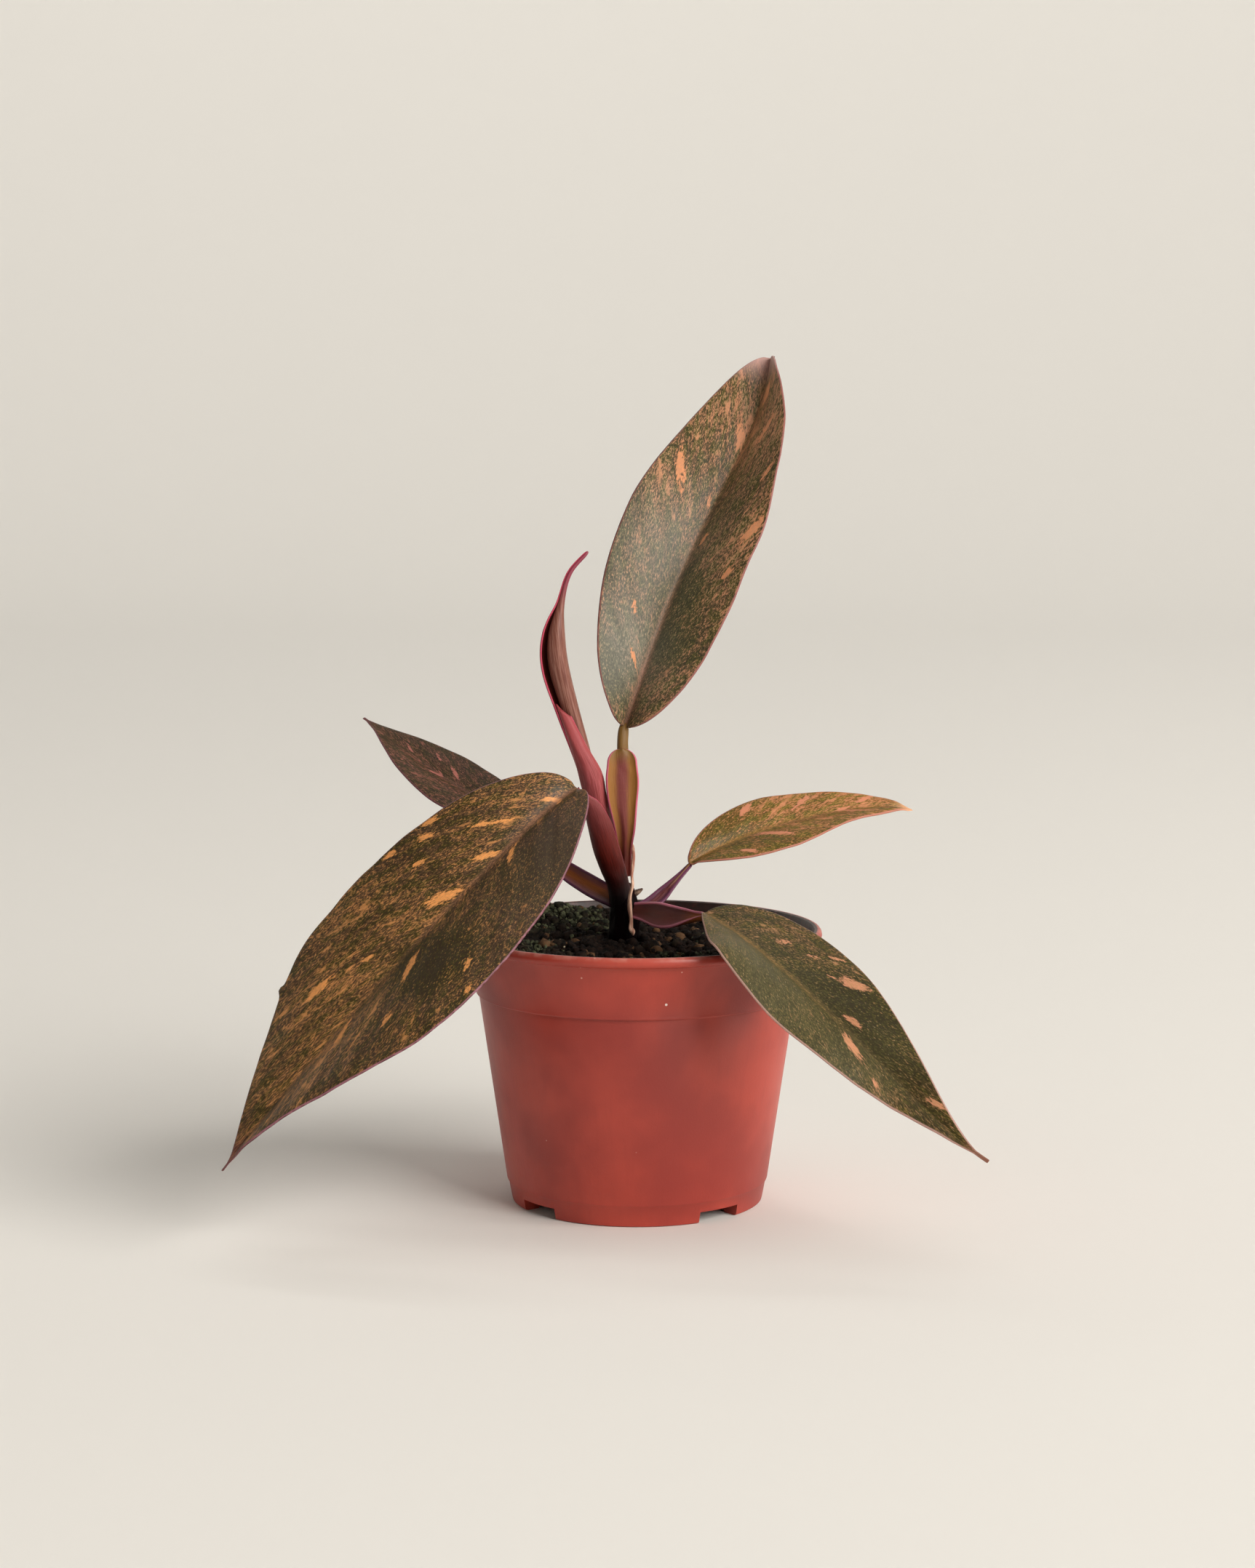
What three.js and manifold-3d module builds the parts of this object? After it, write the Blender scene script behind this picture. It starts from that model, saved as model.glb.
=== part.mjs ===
// Potted orange princess philodendron: a 6 cm nursery pot filled with soil, and a young plant of
// five open leaves and one leaf that is still rolled. Millimetres, +Z up. The origin is the middle
// of the pot's base, +X is to the right and +Y away from someone facing the plant.
import * as THREE from 'three';
import Module from 'manifold-3d';

// Driving dimensions of the pot
const rimRadius = 30;
const potHeight = 44.6;
const potSides = 48;
const wallThickness = 1;
const floorThickness = 1.2;
const footRadius = 20.5;
const footBevel = 0.5;
const footLine = { radius: 21.3, height: 3.6, inset: 0.25, rise: 0.2 };
const floorCorner = { across: 0.4, up: 0.6 };
const collarFoot = { radius: 26.15, height: 34.5, step: 0.45, rise: 0.4, insideRise: 0.6 };
const collarTop = { radius: 28.4, height: 42.4 };
const lip = {
  innerRadius: 28.6,
  crestRadius: 29.3,
  underside: 42.9,
  undersideInset: 0.5,
  sideFoot: 0.7,
  shoulder: { inset: 0.15, drop: 0.35 },
  crestOut: 0.3,
  crestIn: 0.2,
  innerDrop: 0.5,
  neck: { inset: 0.3, rise: 0.6 },
};
const drain = { count: 4, width: 7.8, height: 1.9, depth: 5, firstAngle: 39.5, outset: 0.5 };

// Driving dimensions of the soil, which mounds round the stem and higher against the back rim
const soilLevel = 41.6;
const soilSides = 40;
const stemMound = { x: -2.2, y: 0, height: 1.4, spread: 7 };
const rimMound = { x: -13, y: 22, height: 3, spread: 10 };
const soilLump = { height: 0.45, length: 5.2 };
// Each wave of lumps is the product of two sines of x, y and a phase
const soilWaves = [
  { share: 1, first: [2.1, 1.3, 0], second: [-0.8, 1.7, Math.PI / 2] },
  { share: 0.6, first: [4.3, -2.9, 1], second: [1.9, 3.7, 0] },
];
const soilFootInset = 0.5;
const soilShoulder = { inset: 1.1, drop: 0.6 };
const soilEdge = { inset: 0.3, drop: 0.4 };
const soilRings = [0.96, 0.86, 0.75, 0.64, 0.53, 0.41, 0.3, 0.2, 0.12, 0.05];
const stemHole = { radius: 2.8, floor: 36, top: 49.6, sides: 20 };

// Driving dimensions of the plant
const gap = 0.3;
const clearance = 0.4;
const smallestDetail = 0.03;
const lookAround = 0.02;
const stalkSteps = { sides: 14, steps: 8 };
const stubSteps = { sides: 8, steps: 6 };
const strandSteps = { sides: 6, steps: 12 };
const troughSteps = { across: 7, along: 14 };
const smallestBow = 0.05;
const topPetioleRidge = 4;
const bladeThickness = 0.7;
const marginThickness = 0.6;
const narrowest = 0.35;
const foldStart = 1.6;
const bladeSteps = { along: 24, half: 4, crowding: 0.8, curve: 400 };
const endFoldPower = 4;

// The stalks are stations of x, y, z and radius. The troughs are stations of left margin, right
// margin, bow and thickness of the middle. A positive bow is the rise of the section towards the
// front, and a negative bow is its depth.
const stem = [
  [-2.2, 0, 36.3, 2.3], [-2.2, 0, 41, 2.4], [-2.1, 0, 44.4, 2.4], [-2.1, 0, 48, 2.35], [-2.5, 0, 52, 1.7],
];

// The sheathing petiole of the large left leaf, which wraps the front of the stem
const leftPetiole = [
  [-4.4, 0.2, 47.5, -0.7, -0.4, 47.5, 1.7, 0.7],
  [-4.8, -0.4, 51.3, -1.1, -1.2, 51.2, 1.8, 0.7],
  [-5.9, -1.2, 54, -1.9, -2, 54.9, 1.7, 0.7],
  [-7.1, -2.8, 57.4, -3, -3.2, 58.8, 1.6, 0.7],
  [-8, -4.4, 61.5, -4.3, -4.8, 62.9, 1.3, 0.7],
  [-8.7, -5.9, 65, -6.2, -6.2, 66.1, 0.8, 0.7],
  [-9.4, -7.1, 67.7, -8.5, -7.3, 67.5, 0.4, 0.7],
];

const backLeftPetiole = [
  [-3, 1.6, 50.4, -2.8, -1.4, 47.6, 1.3, 1.3],
  [-4.9, 2, 51.7, -4.7, -1, 48.2, 1.4, 1.3],
  [-7, 3.5, 52.7, -7.3, 0.8, 49.1, 1.5, 1.2],
  [-9.4, 5.7, 53.7, -9.6, 3.1, 50.1, 1.5, 1.2],
  [-12.4, 8, 55.2, -12.6, 5.8, 51.9, 1.4, 1.1],
  [-15.6, 9.8, 57.7, -15.8, 8.3, 55.3, 1.1, 1],
  [-18, 10.4, 60.9, -18.3, 9.6, 60.5, 0.6, 0.9],
];

const backRightPetiole = [
  [-1.6, 1.6, 48, -1.2, 0, 46.6, -1.2, 1.2],
  [1, 2.6, 48.8, 2, 0.8, 47, -1.2, 1.2],
  [3.6, 4.6, 50.5, 4.6, 2.6, 48.6, -1.1, 1],
  [5.6, 5.7, 51.9, 6.3, 4.4, 50.6, -0.8, 0.9],
  [8, 7.2, 53.7, 8.6, 6.7, 53.2, -0.4, 0.8],
];

const frontRightPetiole = [
  [-1.4, -0.6, 48.8, -1.6, -2, 46.6, -1.2, 1.2],
  [0.6, -2.4, 49.2, 0.4, -4.6, 46.4, -1.4, 1.3],
  [3.4, -6.2, 49.8, 2.8, -8.4, 45.9, -1.5, 1.3],
  [5.7, -9, 49.7, 5.1, -11.4, 46.4, -1.6, 1.2],
  [8, -12.2, 49.6, 7.7, -14.2, 48, -1.6, 1],
  [9.8, -15, 49.5, 9.6, -16, 49.2, -1.4, 0.8],
];

// A withered bract that stands off the right of the stem
const driedStub = [
  [-2.2, 0, 50.5, 0.7], [-0.6, -0.2, 51.3, 0.7], [0, -0.2, 50.6, 0.5], [0.9, -0.2, 50, 0.3],
];

// The petiole of the top leaf, which widens into a spoon-shaped sheath below
const topPetiole = [
  [-3.1, 0.4, 52.6, -0.9, 0.6, 53, -0.5, 1.1],
  [-3.4, 0.2, 57.5, -0.7, 0.4, 57.5, -0.7, 1.2],
  [-4, -0.2, 61.4, -0.2, 0.2, 60.6, -0.9, 1.3],
  [-4.9, -0.6, 65.5, 0.1, 0.2, 64.4, -1.1, 1.4],
  [-5.2, -0.6, 68.7, 0.4, 0.4, 68.2, -1.2, 1.4],
  [-4.9, 0, 71.2, -0.1, 0.7, 71.2, -1, 1.4],
  [-4.2, 0.9, 73, -0.9, 1.3, 73, -0.7, 1.4],
  [-3.3, 1.8, 74.2, -1.6, 2, 74.2, -0.4, 1.3],
  [-3.2, 2.7, 76.5, -1.6, 2.7, 76.5, -0.4, 1.2],
];

// The bract that wraps the leaf that is still rolled
const newLeafSheath = [
  [-5, 1.2, 51.9, -2.3, 1.6, 52.4, 0.6, 0.7],
  [-6.4, 1.2, 57, -2.9, 1.4, 57, 0.9, 0.7],
  [-8.2, 0.8, 64.2, -4.2, 1, 62.8, 1.3, 0.7],
  [-9.1, 0.4, 67.6, -4.9, 0.5, 66.2, 1.6, 0.7],
  [-9.9, 0, 70.9, -5.7, 0, 70.1, 1.7, 0.7],
  [-11.2, -0.4, 75.4, -8, -0.6, 74.2, 1.4, 0.7],
  [-13.2, -0.6, 81.2, -10.5, -1.2, 79, 0.9, 0.7],
];

// The leaf that is still rolled: the middle of the roll and its radius
const newLeafRoll = [
  [-6.6, 1.4, 64, 1], [-8.3, 1.3, 71.5, 1.3], [-10.9, 1, 80, 1.7], [-12.8, 0.6, 87, 2],
  [-13.1, 0.4, 92, 1.7], [-12.3, 0.8, 97.2, 0.7], [-10.9, 1.4, 102, 0.45], [-7.9, 2.4, 105.5, 0.35],
];
const rollOverlap = { step: 0.45, startAngle: 250, twist: 60, seam: 0.02, sides: 16, along: 20 };

// A thin dried strand that hangs down the front of the stem to the soil
const strand = [
  [-0.7, -1, 58.4, 0.3], [-0.7, -2.7, 55.4, 0.3], [-0.8, -3.6, 52, 0.3], [-1.2, -3.4, 48.4, 0.3],
  [-0.9, -3.1, 43.9, 0.3],
];

// Each midrib is a Bezier curve from the petiole to the tip, and face is the way the blade looks.
// The two halves rise from the midrib by fold degrees, and by endFold more at the ends, but lie flat
// where the blade is narrower than foldStart. A droop hangs the near half down beside the petiole
// and sets it forward, by a share of its width.
const topLeaf = {
  midrib: [[-2, 3, 77], [5.1, 5, 99.1], [11.2, 14, 113.2], [19.2, 20, 119.8], [22.7, 28, 136.9]],
  face: [0, -1, 0.2],
  roll: [3.6, -37.6],
  halfWidth: 12.9,
  widestAt: 0.5,
  base: 0.45,
  taper: [1.4, 0.5],
  fold: 26,
  endFold: 28,
};
const leftLeaf = {
  midrib: [[-9.5, -8, 68.2], [-14.1, -17, 68.8], [-52.4, -33, 27.3], [-62.5, -42, 14.4]],
  face: [-0.1, -0.6, 0.8],
  roll: [-10.3, 26.2],
  halfWidth: 17.5,
  widestAt: 0.54,
  base: 0.63,
  taper: [1.75, 1.5],
  fold: 5.4,
  endFold: 19.7,
};
const frontRightLeaf = {
  midrib: [[10.4, -16, 49.5], [23.5, -31, 45.3], [41.8, -44, 23.1], [51.6, -51, 18]],
  face: [0.2, -0.6, 0.8],
  roll: [-26.4, 31.2],
  halfWidth: 10.8,
  widestAt: 0.27,
  base: 0.52,
  taper: [1.8, 1.55],
  fold: 8.2,
  endFold: 28,
  droop: { degrees: 30, forward: 0.6, reach: 0.22 },
};
const backRightLeaf = {
  midrib: [[8.5, 7, 54.1], [16, 11, 58.3], [36, 19, 63.8], [46.7, 24, 60.8]],
  face: [-0.1, -0.4, 0.9],
  roll: [22.6, 3],
  halfWidth: 6.3,
  widestAt: 0.41,
  base: 0.65,
  taper: [1.13, 0.71],
  fold: 8.8,
  endFold: 30,
};
const backLeftLeaf = {
  midrib: [[-18.3, 10, 61.5], [-29.9, 13, 64.2], [-37.8, 19, 71.4], [-46.2, 24, 76.5]],
  face: [0, -0.5, 0.8],
  roll: [4.4, 10.2],
  halfWidth: 6.7,
  widestAt: 0.4,
  base: 0.51,
  taper: [1.78, 1.25],
  fold: 3.7,
  endFold: 4,
};

const wasm = await Module();
wasm.setup();

// A smooth value at t from 0 to 1 through stations, each a flat list of numbers
function along(stations, t) {
  const last = stations.length - 1;
  const k = Math.min(Math.floor(t * last), last - 1);
  const u = t * last - k;
  const p1 = stations[k];
  const p2 = stations[k + 1];
  const p0 = k > 0 ? stations[k - 1] : p1.map((v, i) => 2 * v - p2[i]);
  const p3 = k + 2 <= last ? stations[k + 2] : p2.map((v, i) => 2 * v - p1[i]);
  return p1.map((v, i) => {
    const slope1 = (p2[i] - p0[i]) / 2;
    const slope2 = (p3[i] - v) / 2;
    const rise = p2[i] - v;
    const cubic = slope1 + slope2 - 2 * rise;
    const square = 3 * rise - 2 * slope1 - slope2;
    return v + u * (slope1 + u * (square + u * cubic));
  });
}

function bezierPoint(ctrl, t) {
  let points = ctrl.map((p) => new THREE.Vector3(...p));
  while (points.length > 1) {
    points = points.slice(1).map((p, i) => points[i].clone().lerp(p, t));
  }
  return points[0];
}

// A closed surface through rings of points, with a fan over each end
function ringSolid(rings) {
  const size = rings[0].length;
  const points = rings.flat();
  const faces = [];
  for (let r = 0; r + 1 < rings.length; r += 1) {
    for (let k = 0; k < size; k += 1) {
      const a = r * size + k;
      const b = r * size + (k + 1) % size;
      faces.push([a, b, b + size], [a, b + size, a + size]);
    }
  }
  const middle = (ring) => ring.reduce((sum, p) => sum.add(p), new THREE.Vector3()).divideScalar(size);
  const bottom = points.push(middle(rings[0])) - 1;
  const top = points.push(middle(rings.at(-1))) - 1;
  const lastRing = (rings.length - 1) * size;
  for (let k = 0; k < size; k += 1) {
    const next = (k + 1) % size;
    faces.push([bottom, next, k], [top, lastRing + k, lastRing + next]);
  }
  return solidFrom(points, faces);
}

// A closed sheet between two grids of points that share their rows and columns
function sheetSolid(front, back) {
  const rows = front.length;
  const cols = front[0].length;
  const points = [...front.flat(), ...back.flat()];
  const at = (side, r, c) => side * rows * cols + r * cols + c;
  const faces = [];
  const quad = (a, b, c, d) => faces.push([a, b, c], [a, c, d]);
  for (let r = 0; r + 1 < rows; r += 1) {
    for (let c = 0; c + 1 < cols; c += 1) {
      quad(at(0, r, c), at(0, r, c + 1), at(0, r + 1, c + 1), at(0, r + 1, c));
      faces.push([at(1, r, c), at(1, r + 1, c + 1), at(1, r, c + 1)]);
      faces.push([at(1, r, c), at(1, r + 1, c), at(1, r + 1, c + 1)]);
    }
    quad(at(0, r, 0), at(0, r + 1, 0), at(1, r + 1, 0), at(1, r, 0));
    quad(at(0, r + 1, cols - 1), at(0, r, cols - 1), at(1, r, cols - 1), at(1, r + 1, cols - 1));
  }
  for (let c = 0; c + 1 < cols; c += 1) {
    quad(at(0, 0, c + 1), at(0, 0, c), at(1, 0, c), at(1, 0, c + 1));
    quad(at(0, rows - 1, c), at(0, rows - 1, c + 1), at(1, rows - 1, c + 1), at(1, rows - 1, c));
  }
  return solidFrom(points, faces);
}

// A solid from points and faces, turned so that its faces point out
function solidFrom(points, faces) {
  const volume = faces.reduce((sum, [a, b, c]) => (
    sum + points[a].dot(new THREE.Vector3().crossVectors(points[b], points[c]))), 0);
  const outward = volume > 0 ? faces : faces.map(([a, b, c]) => [a, c, b]);
  const mesh = new wasm.Mesh({
    numProp: 3,
    vertProperties: new Float32Array(points.flatMap((p) => [p.x, p.y, p.z])),
    triVerts: new Uint32Array(outward.flat()),
  });
  return new wasm.Manifold(mesh);
}

// What is left of a solid once its neighbours are cut away, without loose scraps
function cutBy(solid, neighbours) {
  const pieces = neighbours.reduce((rest, cutter) => rest.subtract(cutter), solid).decompose();
  return pieces.reduce((a, b) => (a.volume() > b.volume() ? a : b));
}

// The drawn geometry of a solid, without the slivers that cutting leaves
function geometryFrom(solid) {
  const mesh = solid.asOriginal().simplify(smallestDetail).getMesh();
  const geometry = new THREE.BufferGeometry();
  geometry.setAttribute('position', new THREE.BufferAttribute(mesh.vertProperties, 3));
  geometry.setIndex(new THREE.BufferAttribute(mesh.triVerts, 1));
  geometry.computeVertexNormals();
  return geometry;
}

// Pot

function potProfile() {
  const footWall = footLine.radius - footLine.inset;
  const wallTop = collarFoot.radius - collarFoot.step;
  const floorEdge = footRadius - wallThickness;
  return [
    [0, 0],
    [footRadius - footBevel, 0],
    [footRadius, footBevel],
    [footWall, footLine.height - footLine.rise],
    [footLine.radius, footLine.height],
    [wallTop, collarFoot.height - collarFoot.rise],
    [collarFoot.radius, collarFoot.height],
    [collarTop.radius, collarTop.height],
    [rimRadius - lip.undersideInset, lip.underside],
    [rimRadius, lip.underside + lip.sideFoot],
    [rimRadius - lip.shoulder.inset, potHeight - lip.shoulder.drop],
    [lip.crestRadius + lip.crestOut, potHeight],
    [lip.crestRadius - lip.crestIn, potHeight],
    [lip.innerRadius, potHeight - lip.innerDrop],
    [lip.innerRadius - lip.neck.inset, collarTop.height + lip.neck.rise],
    [collarTop.radius - wallThickness, collarTop.height],
    [collarFoot.radius - wallThickness, collarFoot.height],
    [wallTop - wallThickness, collarFoot.height - collarFoot.insideRise],
    [floorEdge + floorCorner.across, floorThickness + floorCorner.up],
    [floorEdge - floorCorner.across, floorThickness],
    [0, floorThickness],
  ];
}

function latheSolid(profile, segments) {
  const rings = profile.slice(1, -1).map(([radius, z]) => Array.from({ length: segments }, (_, k) => {
    const angle = 2 * Math.PI * k / segments;
    return new THREE.Vector3(radius * Math.cos(angle), radius * Math.sin(angle), z);
  }));
  return ringSolid(rings);
}

function drainNotch(angle) {
  const box = new THREE.BoxGeometry(2 * drain.depth, drain.width, 2 * drain.height).toNonIndexed();
  const turn = new THREE.Matrix4().makeRotationZ(THREE.MathUtils.degToRad(angle));
  const place = new THREE.Matrix4().makeTranslation(footRadius + drain.outset, 0, 0);
  box.applyMatrix4(turn.multiply(place));
  return meshSolid(box);
}

// A solid from a geometry of loose triangles, with equal corners merged
function meshSolid(geometry) {
  const position = geometry.getAttribute('position');
  const points = [];
  const known = new Map();
  const corner = Array.from({ length: position.count }, (_, i) => {
    const p = new THREE.Vector3().fromBufferAttribute(position, i);
    const key = p.toArray().map((v) => v.toFixed(4)).join();
    if (!known.has(key)) known.set(key, points.push(p) - 1);
    return known.get(key);
  });
  const faces = [];
  for (let i = 0; i < corner.length; i += 3) faces.push(corner.slice(i, i + 3));
  return solidFrom(points, faces);
}

function potSolid() {
  const notches = Array.from({ length: drain.count }, (_, k) => (
    drainNotch(drain.firstAngle + 360 * k / drain.count)));
  return cutBy(latheSolid(potProfile(), potSides), notches);
}

// Soil

function wallRadiusAt(z) {
  const t = (z - collarFoot.height) / (collarTop.height - collarFoot.height);
  return THREE.MathUtils.lerp(collarFoot.radius, collarTop.radius, t) - wallThickness;
}

function mound(shape, x, y) {
  const distance = Math.hypot(x - shape.x, y - shape.y) / shape.spread;
  return shape.height * Math.exp(-distance * distance);
}

function soilHeight(x, y) {
  const wave = ([alongX, alongY, phase]) => (
    Math.sin((alongX * x + alongY * y) / soilLump.length + phase));
  const lumps = soilWaves.reduce((sum, { share, first, second }) => (
    sum + share * wave(first) * wave(second)), 0);
  return soilLevel + mound(stemMound, x, y) + mound(rimMound, x, y) + soilLump.height * lumps;
}

function soilSolid() {
  const ringOf = (radius, heightAt) => Array.from({ length: soilSides }, (_, k) => {
    const angle = 2 * Math.PI * k / soilSides;
    const x = radius * Math.cos(angle);
    const y = radius * Math.sin(angle);
    return new THREE.Vector3(x, y, heightAt(x, y));
  });
  const edgeRadius = wallRadiusAt(soilLevel) - gap - soilEdge.inset;
  const shoulderRadius = wallRadiusAt(collarFoot.height) - soilShoulder.inset;
  const rings = [
    ringOf(footRadius - wallThickness - soilFootInset, () => floorThickness + gap),
    ringOf(shoulderRadius, () => collarFoot.height - soilShoulder.drop),
    ringOf(edgeRadius, (x, y) => soilHeight(x, y) - soilEdge.drop),
    ...soilRings.map((part) => ringOf(part * edgeRadius, soilHeight)),
  ];
  const hole = latheSolid([
    [0, 0], [stemHole.radius, stemHole.floor], [stemHole.radius, stemHole.top], [0, 0],
  ], stemHole.sides).translate([stemMound.x, stemMound.y, 0]);
  return cutBy(ringSolid(rings), [hole]);
}

// Stem, petioles and sheaths

// A round stalk through stations of x, y, z and radius, larger by grow all round
function stalkSolid(stations, { sides, steps } = stalkSteps, grow = 0) {
  const rings = Array.from({ length: steps + 1 }, (_, i) => {
    const t = i / steps;
    const [x, y, z, radius] = along(stations, t);
    const [ax, ay, az] = along(stations, Math.max(t - lookAround, 0));
    const [bx, by, bz] = along(stations, Math.min(t + lookAround, 1));
    const tangent = new THREE.Vector3(bx - ax, by - ay, bz - az).normalize();
    const side = new THREE.Vector3(0, 1, 0).cross(tangent).normalize();
    const front = tangent.clone().cross(side);
    return Array.from({ length: sides }, (__, k) => {
      const angle = 2 * Math.PI * k / sides;
      return new THREE.Vector3(x, y, z)
        .addScaledVector(side, (radius + grow) * Math.cos(angle))
        .addScaledVector(front, (radius + grow) * Math.sin(angle));
    });
  });
  return ringSolid(rings);
}

// A trough through its stations, whose ridge is how full the middle of its section stays
function troughSolid(stations, { ridge = 1, grow = 0 } = {}) {
  const steps = troughSteps.along;
  const cols = troughSteps.across;
  const outside = [];
  const inside = [];
  for (let i = 0; i <= steps; i += 1) {
    const t = i / steps;
    const row = along(stations, t);
    const before = along(stations, Math.max(t - lookAround, 0));
    const after = along(stations, Math.min(t + lookAround, 1));
    const left = new THREE.Vector3(...row.slice(0, 3));
    const right = new THREE.Vector3(...row.slice(3, 6));
    const [bow, middle] = row.slice(6);
    const tangent = new THREE.Vector3(...[0, 1, 2].map((a) => (
      after[a] + after[a + 3] - before[a] - before[a + 3]))).normalize();
    const across = right.clone().sub(left);
    const chord = across.length();
    across.normalize();
    const face = across.clone().cross(tangent).normalize().multiplyScalar(bow < 0 ? -1 : 1);
    const rise = Math.max(Math.abs(bow), smallestBow);
    const radius = (chord * chord / 4 + rise * rise) / (2 * rise);
    const half = 2 * Math.atan(2 * rise / chord);
    const centre = left.clone().lerp(right, 0.5).addScaledVector(face, rise - radius);
    const end = grow === 0 ? 0 : (i === 0 ? -grow : i === steps ? grow : 0);
    centre.addScaledVector(tangent, end);
    outside.push([]);
    inside.push([]);
    for (let c = 0; c < cols; c += 1) {
      const v = 2 * c / (cols - 1) - 1;
      const angle = v * (half + grow / radius);
      const spoke = across.clone().multiplyScalar(Math.sin(angle)).addScaledVector(face, Math.cos(angle));
      const depth = marginThickness + (middle - marginThickness) * (1 - v * v) ** ridge;
      outside[i].push(centre.clone().addScaledVector(spoke, radius + grow));
      inside[i].push(centre.clone().addScaledVector(spoke, radius - depth - grow));
    }
  }
  return sheetSolid(outside, inside);
}

// The roll's outer margin laps over it, so its section is one turn of a spiral
function rollSolid() {
  const { sides, along: steps } = rollOverlap;
  const rings = Array.from({ length: steps + 1 }, (_, i) => {
    const t = i / steps;
    const [x, y, z, radius] = along(newLeafRoll, t);
    const [ax, ay, az] = along(newLeafRoll, Math.max(t - lookAround, 0));
    const [bx, by, bz] = along(newLeafRoll, Math.min(t + lookAround, 1));
    const tangent = new THREE.Vector3(bx - ax, by - ay, bz - az).normalize();
    const side = new THREE.Vector3(0, 1, 0).cross(tangent).normalize();
    const front = tangent.clone().cross(side);
    return Array.from({ length: sides }, (__, k) => {
      const turn = k / (sides - 1);
      const angle = THREE.MathUtils.degToRad(rollOverlap.startAngle + rollOverlap.twist * t + 360 * turn)
        - (k === sides - 1 ? rollOverlap.seam : 0);
      const reach = radius * (1 + rollOverlap.step * (turn - 0.5) * Math.min(1, radius));
      return new THREE.Vector3(x, y, z)
        .addScaledVector(side, reach * Math.cos(angle))
        .addScaledVector(front, reach * Math.sin(angle));
    });
  });
  return ringSolid(rings);
}

// Leaves

// Half the blade's width at s, from 0 at the petiole to 1 at the tip
function halfWidthAt(leaf, s) {
  const { widestAt, base, taper, halfWidth } = leaf;
  const below = (widestAt - s) / widestAt;
  const above = (s - widestAt) / (1 - widestAt);
  const shape = s < widestAt ? (1 - below ** 2) ** base : (1 - above ** taper[0]) ** taper[1];
  return Math.max(halfWidth * shape, narrowest);
}

// Points and directions along a midrib, in steps that are shorter near its ends
function midribRows(leaf) {
  const { along: steps, crowding, curve: fine } = bladeSteps;
  const points = Array.from({ length: fine + 1 }, (_, i) => bezierPoint(leaf.midrib, i / fine));
  const lengths = [0];
  for (let i = 1; i <= fine; i += 1) lengths.push(lengths[i - 1] + points[i].distanceTo(points[i - 1]));
  return Array.from({ length: steps + 1 }, (_, row) => {
    const s = row / steps - crowding * Math.sin(2 * Math.PI * row / steps) / (2 * Math.PI);
    const wanted = s * lengths[fine];
    let i = lengths.findIndex((length) => length >= wanted);
    i = Math.min(Math.max(i, 1), fine);
    const t = (wanted - lengths[i - 1]) / (lengths[i] - lengths[i - 1]);
    return {
      s,
      point: points[i - 1].clone().lerp(points[i], t),
      tangent: points[i].clone().sub(points[i - 1]).normalize(),
    };
  });
}

function bladeSolid(leaf) {
  const halfCols = bladeSteps.half;
  const upper = [];
  const lower = [];
  for (const { s, point, tangent } of midribRows(leaf)) {
    const face = new THREE.Vector3(...leaf.face);
    face.addScaledVector(tangent, -face.dot(tangent)).normalize();
    const roll = THREE.MathUtils.degToRad(THREE.MathUtils.lerp(leaf.roll[0], leaf.roll[1], s));
    face.applyAxisAngle(tangent, roll);
    const side = tangent.clone().cross(face);
    const width = halfWidthAt(leaf, s);
    const flat = THREE.MathUtils.smoothstep(width, narrowest, foldStart);
    const fold = flat * THREE.MathUtils.degToRad(leaf.fold + leaf.endFold * (2 * s - 1) ** endFoldPower);
    const upperRow = [];
    const lowerRow = [];
    const hang = leaf.droop ? 1 - THREE.MathUtils.smoothstep(s, 0, leaf.droop.reach) : 0;
    for (let c = -halfCols; c <= halfCols; c += 1) {
      const v = c / halfCols;
      const drop = c > 0 ? hang * THREE.MathUtils.degToRad(leaf.droop?.degrees ?? 0) : 0;
      const forward = c > 0 ? hang * width * v * (leaf.droop?.forward ?? 0) : 0;
      const rise = fold - drop;
      const tilt = c === 0 ? 0 : Math.sign(c) * rise;
      const normal = face.clone().multiplyScalar(Math.cos(tilt)).addScaledVector(side, -Math.sin(tilt));
      const lean = c === 0 ? 1 / Math.cos(fold) : 1;
      const middle = point.clone()
        .addScaledVector(side, width * v * Math.cos(rise))
        .addScaledVector(face, width * Math.abs(v) * Math.sin(rise))
        .addScaledVector(tangent, forward);
      upperRow.push(middle.clone().addScaledVector(normal, lean * bladeThickness / 2));
      lowerRow.push(middle.clone().addScaledVector(normal, -lean * bladeThickness / 2));
    }
    upper.push(upperRow);
    lower.push(lowerRow);
  }
  return sheetSolid(upper, lower);
}

// The stem is one body with the petioles that grow straight out of it
function stemSolid(grow) {
  const parts = [
    stalkSolid(stem, stalkSteps, grow),
    troughSolid(leftPetiole, { grow }),
    troughSolid(backLeftPetiole, { grow }),
    troughSolid(backRightPetiole, { grow }),
    troughSolid(frontRightPetiole, { grow }),
    stalkSolid(driedStub, stubSteps, grow),
  ];
  return parts.reduce((whole, part) => whole.add(part));
}

const topPetioleSolid = troughSolid(topPetiole, { ridge: topPetioleRidge });
const stemRoom = stemSolid(clearance);
const topPetioleRoom = troughSolid(topPetiole, { ridge: topPetioleRidge, grow: clearance });
const sheathRoom = troughSolid(newLeafSheath, { grow: clearance });

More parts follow.
